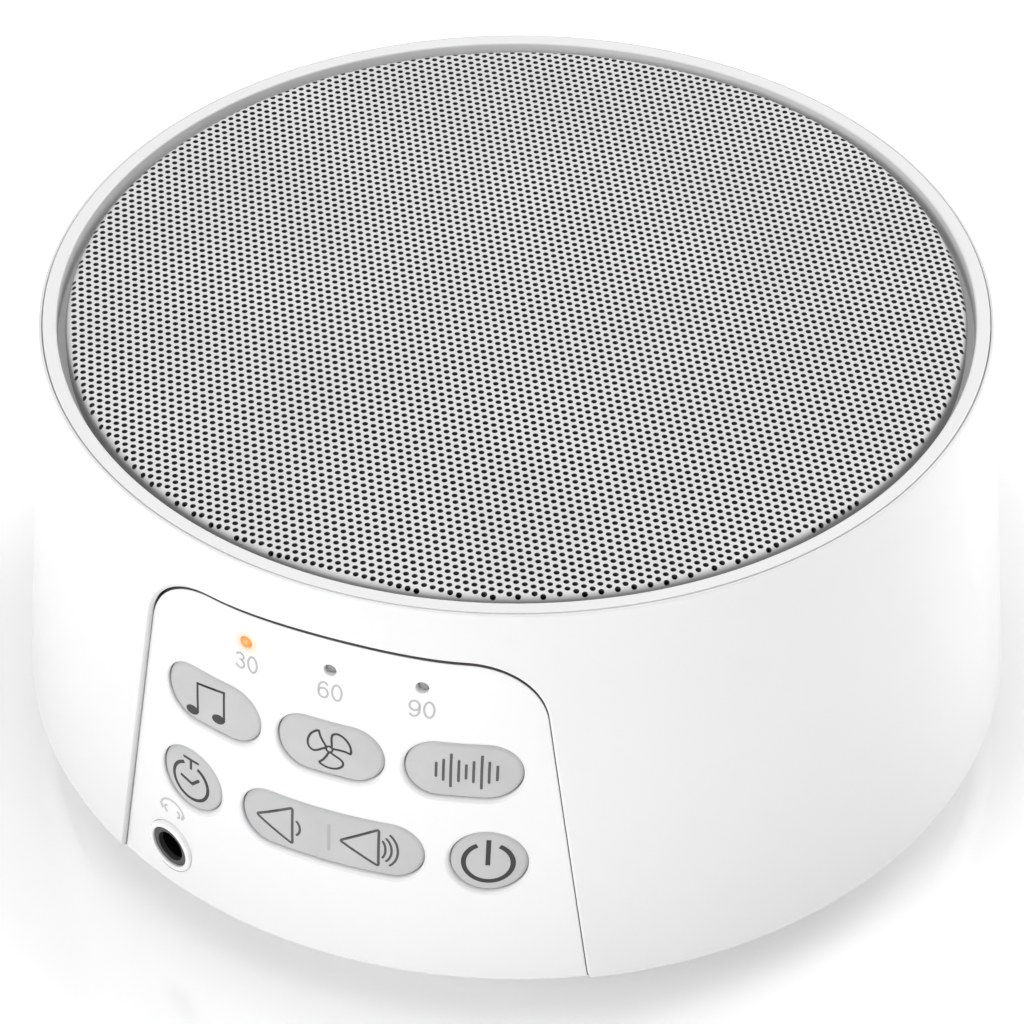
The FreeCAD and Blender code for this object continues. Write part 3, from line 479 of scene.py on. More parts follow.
def window(grow, sides, top_grow=None):
    """Panel outline from low right over the top to low left. sides: heights on the straight sides, rising.
    Gives x, z and the step that grows the outline by 1, and its outward normal."""
    top, rho = 49.1 + (grow if top_grow is None else top_grow), 8.0 + grow
    ht = half(top, grow)
    zc, xc = top - rho, ht + SLOPE * rho - rho * SS
    be = math.atan2(SLOPE, 1)
    rows = []
    for z in sides:
        rows.append((half(z, grow), z, SS, 0.0, 1 / SS, SLOPE / SS))
    for k in range(0, 23):
        a = be + (math.pi / 2 - be) * k / 22
        rows.append((xc + rho * math.cos(a), zc + rho * math.sin(a), math.cos(a), math.sin(a), math.cos(a), math.sin(a)))
    for x in np.arange(math.floor(xc), 0, -1.0):
        rows.append((x, top + ARCH * (1 - (x / xc) ** 2) ** 2, 0.0, 1.0, 0.0, 1.0))
    mirror = [(-x, z, -fx, fz, -ox, oz) for x, z, fx, fz, ox, oz in reversed(rows)]
    return np.array(rows + [(0.0, top + ARCH, 0.0, 1.0, 0.0, 1.0)] + mirror)


TANGENT = 49.1 - 8 + 8 * math.sin(math.atan2(SLOPE, 1))


def stadium(cx, cz, wide, tall, arc=24, line=8):
    """Round-ended outline, counter-clockwise, with outward normals."""
    r, d = tall / 2, (wide - tall) / 2
    out = []
    for k in range(arc + 1):
        a = -math.pi / 2 + math.pi * k / arc
        out.append((cx + d + r * math.cos(a), cz + r * math.sin(a), math.cos(a), math.sin(a)))
    if d > 1e-6:
        out += [(cx + d - 2 * d * k / line, cz + r, 0.0, 1.0) for k in range(1, line)]
    for k in range(0 if d > 1e-6 else 1, arc + 1 if d > 1e-6 else arc):
        a = math.pi / 2 + math.pi * k / arc
        out.append((cx - d + r * math.cos(a), cz + r * math.sin(a), math.cos(a), math.sin(a)))
    if d > 1e-6:
        out += [(cx - d + 2 * d * k / line, cz - r, 0.0, -1.0) for k in range(1, line)]
    return np.array(out)


def front(inset, extra=None):
    """Function y(x, z) of the body's front face drawn in by an inset."""
    def F(x, z):
        x, z = np.asarray(x, float), np.asarray(z, float)
        r = R(z) - inset
        y = -np.sqrt(np.maximum(r * r - x * x, 1e-9))
        return y + (extra(x, z) if extra is not None else 0.0)
    return F


def lay(F, x, z):
    return np.stack([x, F(x, z), z], -1)


def face_normals(F, x, z, h=1e-3):
    fx = (F(x + h, z) - F(x - h, z)) / (2 * h)
    fz = (F(x, z + h) - F(x, z - h)) / (2 * h)
    N = np.stack([fx, -np.ones_like(fx), fz], -1)
    return N / np.linalg.norm(N, axis=-1, keepdims=True)


def edge(B, F, x, z, ox, oz, f, closed=True, steps=5, deep=None, mat=0):
    """Rounded edge between the face F and a wall along Y. (ox, oz) points into the material. Gives the last row."""
    G, D, X0, Z0 = [], [], None, None
    for k in range(steps + 1):
        a = math.pi / 2 * k / steps
        d = f * (1 - math.sin(a))
        X, Z = x + ox * d, z + oz * d
        P = lay(F, X, Z)
        P[:, 1] += (deep or f) * (1 - math.cos(a))
        G.append(P)
        if k == 0:
            X0, Z0 = X, Z
    G = np.array(G)
    n0 = face_normals(F, X0, Z0)
    w = np.stack([-ox, 0 * ox, -oz], -1)
    w = w / np.linalg.norm(w, axis=1, keepdims=True)
    toward = np.array([n0 * math.cos(math.pi / 2 * k / steps) + w * math.sin(math.pi / 2 * k / steps) for k in range(steps + 1)])
    N = grid_normals(G, closed, toward)
    N[0], N[-1] = n0, w
    B.rows(G, N, closed, mat)
    return G[-1], w


def back_wall(B, P, w, F, x, z, closed=True, mat=0):
    Q = lay(F, x, z)
    B.strip(P, w, Q, w, closed, mat)
    return Q


# ------------------------------------------------------------------ outer shell
def shell():
    B = Build()
    FIL = 0.42
    st = [(51.3, 53.6, -1, 0), (51.3, 55.22, -1, 0)]
    for k in range(1, 5):
        a = math.pi - math.pi / 2 * k / 4
        st.append((51.38 + 0.08 * math.cos(a), 55.22 + 0.08 * math.sin(a), math.cos(a), math.sin(a)))
    rc = R(55.1) - 0.2 / NR
    for k in range(0, 9):
        a = math.pi / 2 + (TILT - math.pi / 2) * k / 8
        st.append((rc + 0.2 * math.cos(a), 55.1 + 0.2 * math.sin(a), math.cos(a), math.sin(a)))
    top_cone = len(st) - 1
    zlo = 8.1 + 1.5 * math.sin(TILT)
    for z in np.linspace(st[-1][1], zlo, 27)[1:-1]:
        st.append((R(z), z, NR, NZ))
    low_cone = len(st)
    rb = R(8.1) - 1.5 / NR
    for k in range(0, 13):
        a = TILT - (TILT + math.pi / 2) * k / 12
        st.append((rb + 1.5 * math.cos(a), 8.1 + 1.5 * math.sin(a), math.cos(a), math.sin(a)))
    st.append((54.0, 6.6, 0, -1))
    st = np.array(st, float)
    n = len(st) - 1
    cone_v = np.arange(top_cone, low_cone + 1)

    def v_of(z):
        return np.interp(-z, -st[cone_v, 1], cone_v)

    def surf(u, v):
        """Point and normal from angle (degrees) and station."""
        v = np.clip(v, 0, n)
        i = np.minimum(v.astype(int), n - 1)
        w = (v - i)[:, None]
        s = st[i] * (1 - w) + st[i + 1] * w
        a = np.radians(u)
        q = np.hypot(s[:, 2], s[:, 3])
        nr, nz = s[:, 2] / q, s[:, 3] / q
        return (np.stack([s[:, 0] * np.sin(a), -s[:, 0] * np.cos(a), s[:, 1]], 1),
                np.stack([nr * np.sin(a), -nr * np.cos(a), nz], 1))

    # window outline: stations below the cone first, then the cone's heights
    low = list(range(n, low_cone - 1, -1))
    zs = list(np.arange(math.ceil(zlo) + 0.5, TANGENT - 0.4, 1.0))
    cone_rows = window(0, zs)
    m = len(cone_rows)
    pts = []      # x, z, fx, fz, ox, oz, station or -1
    for j in low:
        pts.append((half(st[j, 1]), st[j, 1], SS, 0, 1 / SS, SLOPE / SS, j))
    pts += [tuple(q) + (-1,) for q in cone_rows]
    for j in reversed(low):
        pts.append((-half(st[j, 1]), st[j, 1], -SS, 0, -1 / SS, SLOPE / SS, j))
    pts = np.array(pts)

    def place(d, depth):
        X, Z = pts[:, 0] + pts[:, 2] * d, pts[:, 1] + pts[:, 3] * d
        j = pts[:, 6].astype(int)
        on = j >= 0
        r = np.where(on, st[j, 0], R(Z))
        nr, nz = np.where(on, st[j, 2], NR), np.where(on, st[j, 3], NZ)
        Y = -np.sqrt(r * r - X * X)
        a = np.where(on, (TILT - np.arctan2(nz, nr)) / (TILT + math.pi / 2) * (math.pi / 2), 0.0)
        P = np.stack([X, Y + np.cos(a) * depth, Z + np.sin(a) * depth], 1)
        N = np.stack([nr * X / r, nr * Y / r, nz], 1)
        return P, N, np.degrees(np.arctan2(X, -Y)), np.where(on, j, v_of(Z))

    steps = 6
    G = []
    for k in range(steps + 1):
        a = math.pi / 2 * k / steps
        P, N, U, Vv = place(FIL * (1 - math.sin(a)), FIL * (1 - math.cos(a)))
        if k == 0:
            n0, uv = N, np.stack([U, Vv], 1)
        G.append(P)
    G = np.array(G)
    w = np.stack([-pts[:, 4], 0 * pts[:, 4], -pts[:, 5]], 1)
    toward = np.array([n0 * math.cos(math.pi / 2 * k / steps) + w * math.sin(math.pi / 2 * k / steps) for k in range(steps + 1)])
    GN = grid_normals(G, False, toward)
    GN[0], GN[-1] = n0, w
    # fillet and wall of the window take the painted-shade finish
    B.rows(G, GN, False, 1)
    # wall of the window back to the inner face, in the same painted shade
    Ri = lambda z: 54.0 + (49.85 - 54.0) / (50.6 - 6.6) * (z - 6.6)
    inner = G[-1].copy()
    hz = inner[:, 2].copy()
    hx = np.where(pts[:, 6] >= 0, np.sign(pts[:, 0]) * half(hz), pts[:, 0])
    hz = np.where(pts[:, 6] >= 0, hz, pts[:, 1])
    inner = np.stack([hx, -np.sqrt(Ri(hz) ** 2 - hx ** 2), hz], 1)
    inner[0], inner[-1] = G[-1][0], G[-1][-1]
    B.strip(G[-1], w, inner, w, False, 1)

    # hole for the power inlet in the back
    ang = np.linspace(0, 2 * math.pi, 64, endpoint=False)
    ho, hv = np.cos(ang), np.sin(ang)
    rows = []
    for k in range(4):
        a = math.pi / 2 * k / 3
        d, dep = 0.25 * (1 - math.sin(a)), 0.25 * (1 - math.cos(a))
        X, Z = (4.15 + d) * ho, 14.0 + (4.15 + d) * hv
        Y = np.sqrt(R(Z) ** 2 - X ** 2)
        if k == 0:
            hole = np.stack([180 - np.degrees(np.arcsin(X / R(Z))), v_of(Z)], 1)
            hn = np.stack([NR * X / R(Z), NR * Y / R(Z), np.full_like(X, NZ)], 1)
        rows.append(np.stack([X, Y - dep, Z], 1))
    hw = np.stack([-ho, 0 * ho, -hv], 1)
    rows = np.array(rows)
    toward = np.array([hn * math.cos(math.pi / 2 * k / 3) + hw * math.sin(math.pi / 2 * k / 3) for k in range(4)])
    HN = grid_normals(rows, True, toward)
    HN[0], HN[-1] = hn, hw
    B.rows(rows, HN, True)
    X, Z = 4.15 * ho, 14.0 + 4.15 * hv
    hin = np.stack([X, np.sqrt(Ri(Z) ** 2 - X ** 2), Z], 1)
    B.strip(rows[-1], hw, hin, hw, True)

    # outer face
    us = np.arange(-90, 271, 1.0)
    ue = uv[0][0]
    loop = [(u, 0) for u in us]
    loop += [(270, v) for v in range(1, n + 1)]
    loop += [(u, n) for u in us[::-1] if u < 270 and u > ue + 0.4]
    loop += [tuple(q) for q in uv]
    loop += [(u, n) for u in us[::-1] if u < -ue - 0.4]
    loop += [(-90, v) for v in range(n - 1, 0, -1)]
    loop = np.array(loop, float)
    grid = np.array([(u, v) for v in range(1, n) for u in us[1:-1]], float)
    grid = grid[within(grid, [loop, hole])]
    keep = apart(grid, [uv, hole], 0.7)
    P, T, ids = cdt([loop, hole], keep)
    V3, N3 = surf(P[:, 0], P[:, 1])
    first = {tuple(np.round(q, 9)): i for i, q in enumerate(uv)}
    start = len(us) + n + len([u for u in us if u < 270 and u > ue + 0.4])
    for k, i in enumerate(ids):
        if start <= i < start + len(uv):
            V3[k], N3[k] = G[0][i - start], n0[i - start]
        elif len(loop) <= i < len(loop) + len(hole):
            V3[k], N3[k] = rows[0][i - len(loop)], hn[i - len(loop)]
    B.add(V3, T, N3)

    # inner face of the wall, in angle and height
    ni = np.array([1.0, (54.0 - 49.85) / 44.0])
    ni = -ni / np.linalg.norm(ni)
    end0 = G[:, 0, :][::1]
    end1 = G[:, -1, :]
    th = lambda P3: np.degrees(np.arctan2(P3[:, 0], -P3[:, 1]))
    right = np.vstack([end0, inner[1:len(inner) // 2 + 1]])
    left = np.vstack([inner[len(inner) // 2 + 1:-1], end1[::-1]])
    border3 = np.vstack([right, left])
    border = np.stack([th(border3), border3[:, 2]], 1)
    hloop = np.stack([180 - np.degrees(np.arcsin(X / Ri(Z))), Z], 1)
    loop = [(u, 50.6) for u in us]
    side = list(np.arange(48.6, 7.0, -2.0))
    loop += [(270, z) for z in side] + [(270, 6.6)]
    cut0 = [(u, 6.6) for u in us[::-1] if u < 270 and u > border[0][0] + 0.3]
    loop += cut0
    s0 = len(loop)
    loop += [tuple(q) for q in border]
    loop += [(u, 6.6) for u in us[::-1] if u < border[-1][0] - 0.3]
    loop += [(-90, z) for z in side[::-1]]
    loop = np.array(loop, float)
    grid = np.array([(u, z) for z in side for u in us[1:-1:2]], float)
    grid = grid[within(grid, [loop, hloop])]
    keep = apart(grid, [border, hloop], 1.0)
    P, T, ids = cdt([loop, hloop], keep)
    a = np.radians(P[:, 0])
    V3 = np.stack([Ri(P[:, 1]) * np.sin(a), -Ri(P[:, 1]) * np.cos(a), P[:, 1]], 1)
    N3 = np.stack([ni[0] * np.sin(a), -ni[0] * np.cos(a), np.full(len(a), ni[1])], 1)
    for k, i in enumerate(ids):
        if s0 <= i < s0 + len(border):
            V3[k] = border3[i - s0]
        elif len(loop) <= i < len(loop) + len(hloop):
            V3[k] = hin[i - len(loop)]
    B.add(V3, T, N3)
    # deck, pocket of the bezel
    ring = np.radians(us[:-1])
    path = [(49.85, 50.6), (26, 50.6), (26, 52.6), (49.75, 52.6), (49.75, 53.6), (51.3, 53.6)]
    for (r0, z0), (r1, z1) in zip(path, path[1:]):
        nn = np.array([z0 - z1, r1 - r0], float)
        nn /= np.linalg.norm(nn)
        row = lambda r, z: np.stack([r * np.sin(ring), -r * np.cos(ring), np.full(len(ring), z)], 1)
        nrm = np.stack([nn[0] * np.sin(ring), -nn[0] * np.cos(ring), np.full(len(ring), nn[1])], 1)
        B.strip(row(r0, z0), nrm, row(r1, z1), nrm)
    for sx in (-1, 1):
        for sy in (-1, 1):
            turn(B, [(3.5, 5.0, 0.2), (3.5, 50.5), (0, 50.5), (0, 17), (1.4, 17), (1.4, 5.0, 0.15)], 40, 3, (25.8 * sx, 25.8 * sy, 0))
    return B.done("outer_shell", [M["body"], M["recess"]], "housing", ["body_shell"])


# ------------------------------------------------------------------ key panel
KEYS = [
    ("music", -14.1, 34.75, 11.9, 7.05), ("fan", -0.15, 34.75, 11.9, 7.05), ("noise", 13.8, 34.75, 11.9, 7.05),
    ("timer", -17.0, 23.1, 7.8, 7.8), ("volume", -0.1, 23.1, 20.6, 7.05), ("power", 16.65, 23.05, 7.8, 7.8),
]
RIM = 0.34      # rounding of the panel around each key
JA = math.radians(21.5)
JD = np.array([-math.sin(JA), -math.cos(JA), 0.0])
JT = np.array([math.cos(JA), -math.sin(JA), 0.0])
PLOW, PROUND = 6.75, 0.9
SIDE_GAP, TOP_GAP, RIGHT = 0.02, 0.72, 0.23      # joint of the panel at its sides and along its top


def panel_drop(x, z):
    k = np.clip(PROUND - (z - PLOW), 0, PROUND * 0.9995)
    return PROUND - np.sqrt(PROUND ** 2 - k ** 2)


def dish(x, z):
    """No dish around the headphone socket: the offset is zero everywhere."""
    return 0.0 * x


def panel():
    B = Build()
    F0 = front(0.63, panel_drop)
    F1, F2 = front(2.15), front(3.6)
    sides = [PLOW + 0.0, PLOW + 0.03, PLOW + 0.08, PLOW + 0.16, PLOW + 0.28, PLOW + 0.45, PLOW + 0.65, PLOW + 0.9] + list(np.arange(8.6, TANGENT - 1.0, 1.0))
    w = window(-SIDE_GAP, sides, -TOP_GAP)
    x, z, ox, oz = w[:, 0], w[:, 1], w[:, 4], w[:, 5]
    # the sides step sideways only, so that the lower end stays level
    fx, fz = -w[:, 2], -w[:, 3]
    x = x - RIGHT * np.clip((x - 9.0) / 5.0, 0, 1)
    G, wn = edge(B, F0, x, z, fx, fz, 0.08, False, 4)
    wn = np.stack([ox, 0 * ox, oz], 1)
    edge_loop = np.stack([x + fx * 0.08, z + fz * 0.08], 1)
    # the wall round the panel's edge is near black: painted shade of the joint
    B.strip(G, wn, lay(F1, x, z), wn, False, 1)
    # lower end, level
    xs = np.linspace(edge_loop[-1][0], edge_loop[0][0], 44)[1:-1]
    bottom = np.stack([xs, np.full(len(xs), PLOW)], 1)
    outer = np.vstack([edge_loop, bottom[::-1]])
    loops = [outer]
    holes = []
    for name, kx, kz, wide, tall in KEYS:
        s = stadium(kx, kz, wide + 0.14, tall + 0.14, 24, 14 if name == "volume" else 8)
        # the rounding takes the darker copy of the white: painted shade
        P, wl = edge(B, F0, s[:, 0], s[:, 1], s[:, 2], s[:, 3], RIM, True, 6, mat=2)
        back_wall(B, P, wl, F2, s[:, 0], s[:, 1])
        loops.append(np.stack([s[:, 0] + s[:, 2] * RIM, s[:, 1] + s[:, 3] * RIM], 1))
        holes.append(s[:, :2])
    for lx, lz in LED:
        s = stadium(lx, lz, 1.36, 1.36, 14, 2)
        P, wl = edge(B, F0, s[:, 0], s[:, 1], s[:, 2], s[:, 3], 0.16, True, 4)
        back_wall(B, P, wl, F2, s[:, 0], s[:, 1])
        loops.append(np.stack([s[:, 0] + s[:, 2] * 0.16, s[:, 1] + s[:, 3] * 0.16], 1))
        holes.append(s[:, :2])
    ang = np.linspace(0, 2 * math.pi, 72, endpoint=False)

    def seat(r, inset):
        Z = 12.2 + r * np.sin(ang)
        c = r * np.cos(ang)
        s = np.sqrt((R(Z) - inset) ** 2 - c * c)
        return JD * s[:, None] + JT * c[:, None] + np.stack([0 * Z, 0 * Z, Z], 1)

    sn = -(JT * np.cos(ang)[:, None] + np.stack([0 * ang, 0 * ang, np.sin(ang)], 1))
    S0, S2 = seat(3.2, 0.63), seat(3.2, 3.6)
    B.strip(S0, sn, S2, sn)
    loops.append(S0[:, [0, 2]])
    holes.append(S2[:, [0, 2]])
    allow = [l for l in loops]
    gx = np.arange(-28, 28.1, 0.9)
    gz = np.concatenate([[PLOW + q for q in (0.03, 0.08, 0.16, 0.28, 0.45, 0.65, 0.9)], np.arange(8.5, 49.5, 0.9)])
    grid = np.array([(a, c) for c in gz for a in gx])
    grid = grid[within(grid, allow)]
    low = grid[grid[:, 1] < PLOW + 1.0]
    low = low[np.abs(low[:, 0]) < half(low[:, 1], -SIDE_GAP) - 0.6]
    rest = apart(grid[grid[:, 1] >= PLOW + 1.0], allow, 0.6)
    P, T, ids = cdt(loops, np.vstack([low, rest]))
    px, pz = P[:, 0], P[:, 1]
    V3 = lay(F0, px, pz)
    N3 = face_normals(F0, px, np.maximum(pz, PLOW + 0.003))
    B.add(V3, T, N3)
    # level underside strip and the rim behind the window
    xs_all = np.concatenate([[edge_loop[-1][0]], xs, [edge_loop[0][0]]])
    zl = np.full(len(xs_all), PLOW)
    down = np.tile([0, 0, -1.0], (len(xs_all), 1))
    B.strip(lay(F0, xs_all, zl), down, lay(F2, xs_all, zl), down, False)
    rim_sides = list(np.arange(9.3, TANGENT - 0.6, 1.5))
    q = window(1.3, rim_sides)
    rx, rz = q[:, 0], q[:, 1]
    rim = np.stack([rx, rz], 1)
    wz = np.stack([x, z], 1)
    inner_part = wz[z >= 9.3]
    ring = np.vstack([rim, [[-half(9.3, -SIDE_GAP), 9.3]], inner_part[::-1], [[half(9.3, -SIDE_GAP) - RIGHT, 9.3]]])
    P, T, ids = cdt([ring], np.zeros((0, 2)))
    # the flange behind the window is near black as well: painted shade
    B.add(lay(F1, P[:, 0], P[:, 1]), T, face_normals(F1, P[:, 0], P[:, 1]), 1)
    on = np.stack([q[:, 4], 0 * rx, q[:, 5]], 1)
    B.strip(lay(F1, rx, rz), on, lay(F2, rx, rz), on, False)
    # back face with the same openings
    low_side = wz[(z < 9.3) & (x > 0)]
    low_left = wz[(z < 9.3) & (x < 0)]
    back = np.vstack([rim, [[-half(9.3, -SIDE_GAP), 9.3]], low_left, np.stack([np.linspace(low_left[-1][0], low_side[0][0], 40)[1:-1], np.full(38, PLOW)], 1), low_side, [[half(9.3, -SIDE_GAP) - RIGHT, 9.3]]])
    grid = np.array([(a, c) for c in np.arange(8, 50, 2.0) for a in np.arange(-28, 28.1, 2.0)])
    grid = grid[within(grid, [back] + holes)]
    grid = apart(grid, [back] + holes, 1.0)
    P, T, ids = cdt([back] + holes, grid)
    B.add(lay(F2, P[:, 0], P[:, 1]), T, -face_normals(F2, P[:, 0], P[:, 1]))
    for bx, bz, s in ((-17.0, 43.6, -47.4), (17.0, 43.6, -47.4), (-11.6, 17.3, -51.6), (11.6, 17.3, -51.6)):
        turn(B, [(1.6, 0.0), (1.6, -42.05 - s, 0.1), (0.8, -42.05 - s), (0.8, 0.5), (0, 0.5), (0, 0)], 32, 2, (bx, s, bz), (0, 1, 0))
    return B.done("key_panel", [M["panel"], M["seal"], M["rims"]], "housing", ["control_panel"])


# ------------------------------------------------------------------ keys
KEY_EDGE = 0.55


def key_face(kx, kz, wide, tall):
    """Face of one key: follows the body, very slightly crowned."""
    def crown(x, z):
        d = (wide - tall) / 2
        ax = np.maximum(np.abs(x - kx) - d, 0)
        q = np.clip(np.hypot(ax, z - kz) / (tall / 2), 0, 1)
        return 0.16 * q ** 2
    return front(0.74, crown)


def keys():
    for name, kx, kz, wide, tall in KEYS:
        B = Build()
        F = key_face(kx, kz, wide, tall)
        rocker = name == "volume"
        ln = 14 if rocker else 8
        s = stadium(kx, kz, wide, tall, 24, ln)
        P, w = edge(B, F, s[:, 0], s[:, 1], -s[:, 2], -s[:, 3], KEY_EDGE, True, 7, 0.42)
        f0, f1 = (4.3, 5.1) if rocker else (3.95, 4.75)
        A = back_wall(B, P, w, front(f0), s[:, 0], s[:, 1])
        q = stadium(kx, kz, wide + 1.4, tall + 1.4, 24, ln)
        n0 = face_normals(front(f0), s[:, 0], s[:, 1])
        C = lay(front(f0), q[:, 0], q[:, 1])
        B.strip(A, n0, C, n0)
        wq = np.stack([q[:, 2], 0 * q[:, 2], q[:, 3]], 1)
        D = lay(front(f1), q[:, 0], q[:, 1])
        B.strip(C, wq, D, wq)
        cw = 17.8 if rocker else (4.4 if wide == tall else 6.6)
        c = stadium(kx, kz, cw, 3.4, 24, ln)
        if len(c) != len(q):
            c = np.array([(kx + (cw - 3.4) / 2 * (1 if a >= 0 else -1) + 1.7 * a, kz + 1.7 * e, a, e) for _, _, a, e in q])
        E = lay(front(f1), c[:, 0], c[:, 1])
        B.strip(D, -n0, E, -n0)
        wc = np.stack([c[:, 2], 0 * c[:, 2], c[:, 3]], 1)
        end = -42.95
        K = np.stack([c[:, 0], np.full(len(c), end), c[:, 1]], 1)
        B.strip(E, wc, K, wc)
        mid = np.stack([np.full(len(c), kx), np.full(len(c), end), np.full(len(c), kz)], 1)
        up = np.tile([0, 1.0, 0], (len(c), 1))
        B.strip(K, up, mid, up)
        loop = np.stack([s[:, 0] - s[:, 2] * KEY_EDGE, s[:, 1] - s[:, 3] * KEY_EDGE], 1)
        grid = np.array([(a, e) for e in np.arange(kz - 5, kz + 5, 0.45) for a in np.arange(kx - 12, kx + 12, 0.45)])
        grid = grid[within(grid, [loop])]
        grid = apart(grid, [loop], 0.35)
        Pt, T, ids = cdt([loop], grid)
        B.add(lay(F, Pt[:, 0], Pt[:, 1]), T, face_normals(F, Pt[:, 0], Pt[:, 1]))
        node = "volume_rocker" if rocker else name + "_button"
        B.done(name + "_key_cap", M["key"], name + "_key", [node])


# ------------------------------------------------------------------ printed signs
def chain(points, width, caps=True, closed=False):
    """Outline(s) of a drawn line of one width: one loop, or two for a closed line."""
    P = np.array(points, float)
    n = len(P)
    if closed:
        prev, nxt = np.roll(P, 1, 0), np.roll(P, -1, 0)
    else:
        prev, nxt = np.vstack([P[:1] * 2 - P[1:2], P[:-1]]), np.vstack([P[1:], P[-1:] * 2 - P[-2:-1]])
    u, v = P - prev, nxt - P
    u /= np.linalg.norm(u, axis=1)[:, None]
    v /= np.linalg.norm(v, axis=1)[:, None]
    t = u + v
    t /= np.maximum(np.linalg.norm(t, axis=1), 1e-9)[:, None]
    nn = np.stack([-t[:, 1], t[:, 0]], 1)
    c = np.maximum((nn * np.stack([-u[:, 1], u[:, 0]], 1)).sum(1), 0.5)
    L, Rr = P + nn * (width / 2 / c)[:, None], P - nn * (width / 2 / c)[:, None]
    if closed:
        return [L, Rr]
    loop = list(Rr)
    k = 6 if caps else 0
    e = math.atan2(v[-1][1], v[-1][0])
    loop += [P[-1] + width / 2 * np.array([math.cos(e - math.pi / 2 + math.pi * i / (k + 1)), math.sin(e - math.pi / 2 + math.pi * i / (k + 1))]) for i in range(1, k + 1)]
    loop += list(L[::-1])
    e = math.atan2(-u[0][1], -u[0][0])
    loop += [P[0] + width / 2 * np.array([math.cos(e - math.pi / 2 + math.pi * i / (k + 1)), math.sin(e - math.pi / 2 + math.pi * i / (k + 1))]) for i in range(1, k + 1)]
    return [np.array(loop)]


def dense(points, step=0.35):
    out = [np.array(points[0], float)]
    for a, b in zip(points, points[1:]):
        a, b = np.array(a, float), np.array(b, float)
        k = max(1, int(math.ceil(np.linalg.norm(b - a) / step)))
        out += [a + (b - a) * i / k for i in range(1, k + 1)]
    return out


def arc_pts(cx, cz, rx, rz, a0, a1, n=24):
    return [(cx + rx * math.cos(math.radians(a0 + (a1 - a0) * i / n)), cz + rz * math.sin(math.radians(a0 + (a1 - a0) * i / n))) for i in range(n + 1)]


def smooth_loop(points, n=8):
    """Closed Catmull-Rom curve through the points."""
    P = [np.array(p, float) for p in points]
    out = []
    m = len(P)
    for i in range(m):
        a, b, c, d = P[i - 1], P[i], P[(i + 1) % m], P[(i + 2) % m]
        for k in range(n):
            t = k / n
            out.append(0.5 * (2 * b + (c - a) * t + (2 * a - 5 * b + 4 * c - d) * t * t + (3 * b - a - 3 * c + d) * t ** 3))
    return out


def round_poly(points, r, n=5):
    """Closed polygon with rounded corners."""
    P = [np.array(p, float) for p in points]
    out = []
    m = len(P)
    for i in range(m):
        a, p, b = P[i - 1], P[i], P[(i + 1) % m]
        u, v = (a - p) / np.linalg.norm(a - p), (b - p) / np.linalg.norm(b - p)
        s, e = p + u * r, p + v * r
        for k in range(n + 1):
            t = k / n
            out.append((1 - t) ** 2 * s + 2 * t * (1 - t) * p + t * t * e)
        far = P[(i + 1) % m]
        nx = far + (p - far) / np.linalg.norm(p - far) * r
        out += [q for q in dense([e, nx])[1:-1]]
    return out


def sign(name, shapes, F, mat, body, thick=0.02, nodes=()):
    """Thin printed film: shapes is a list of loops groups; each group is even-odd by itself and the groups are joined."""
    B = Build()
    for group in shapes:
        loops = [np.array(l, float) for l in group]
        P, T, ids = cdt(loops, np.zeros((0, 2)))
        if not len(T):
            continue
        V3 = lay(F, P[:, 0], P[:, 1])
        N3 = face_normals(F, P[:, 0], P[:, 1])
        top = V3 + N3 * thick
        B.add(top, T, N3)
        B.add(V3 - N3 * 0.01, T, -N3)
        for L in loops:
            a = lay(F, L[:, 0], L[:, 1])
            nf = face_normals(F, L[:, 0], L[:, 1])
            tan = np.roll(L, -1, 0) - np.roll(L, 1, 0)
            out = np.stack([tan[:, 1], 0 * tan[:, 0], -tan[:, 0]], 1)
            out /= np.maximum(np.linalg.norm(out, axis=1), 1e-9)[:, None]
            probe = L + out[:, [0, 2]] * 0.01
            ins = within(probe, loops)
            out[ins] *= -1
            B.strip(a + nf * thick, out, a - nf * 0.01, out)
    return B.done(name, mat, body, nodes)


def rel(x0, y0, s=18.0):
    """From pixels of the flattened panel drawing to millimetres on the front view, for a sign at a given place."""
    return lambda x, y: ((x - x0) / s, -(y - y0) / s)


def at(points, kx, kz):
    return [(kx + a, kz + b) for a, b in points]


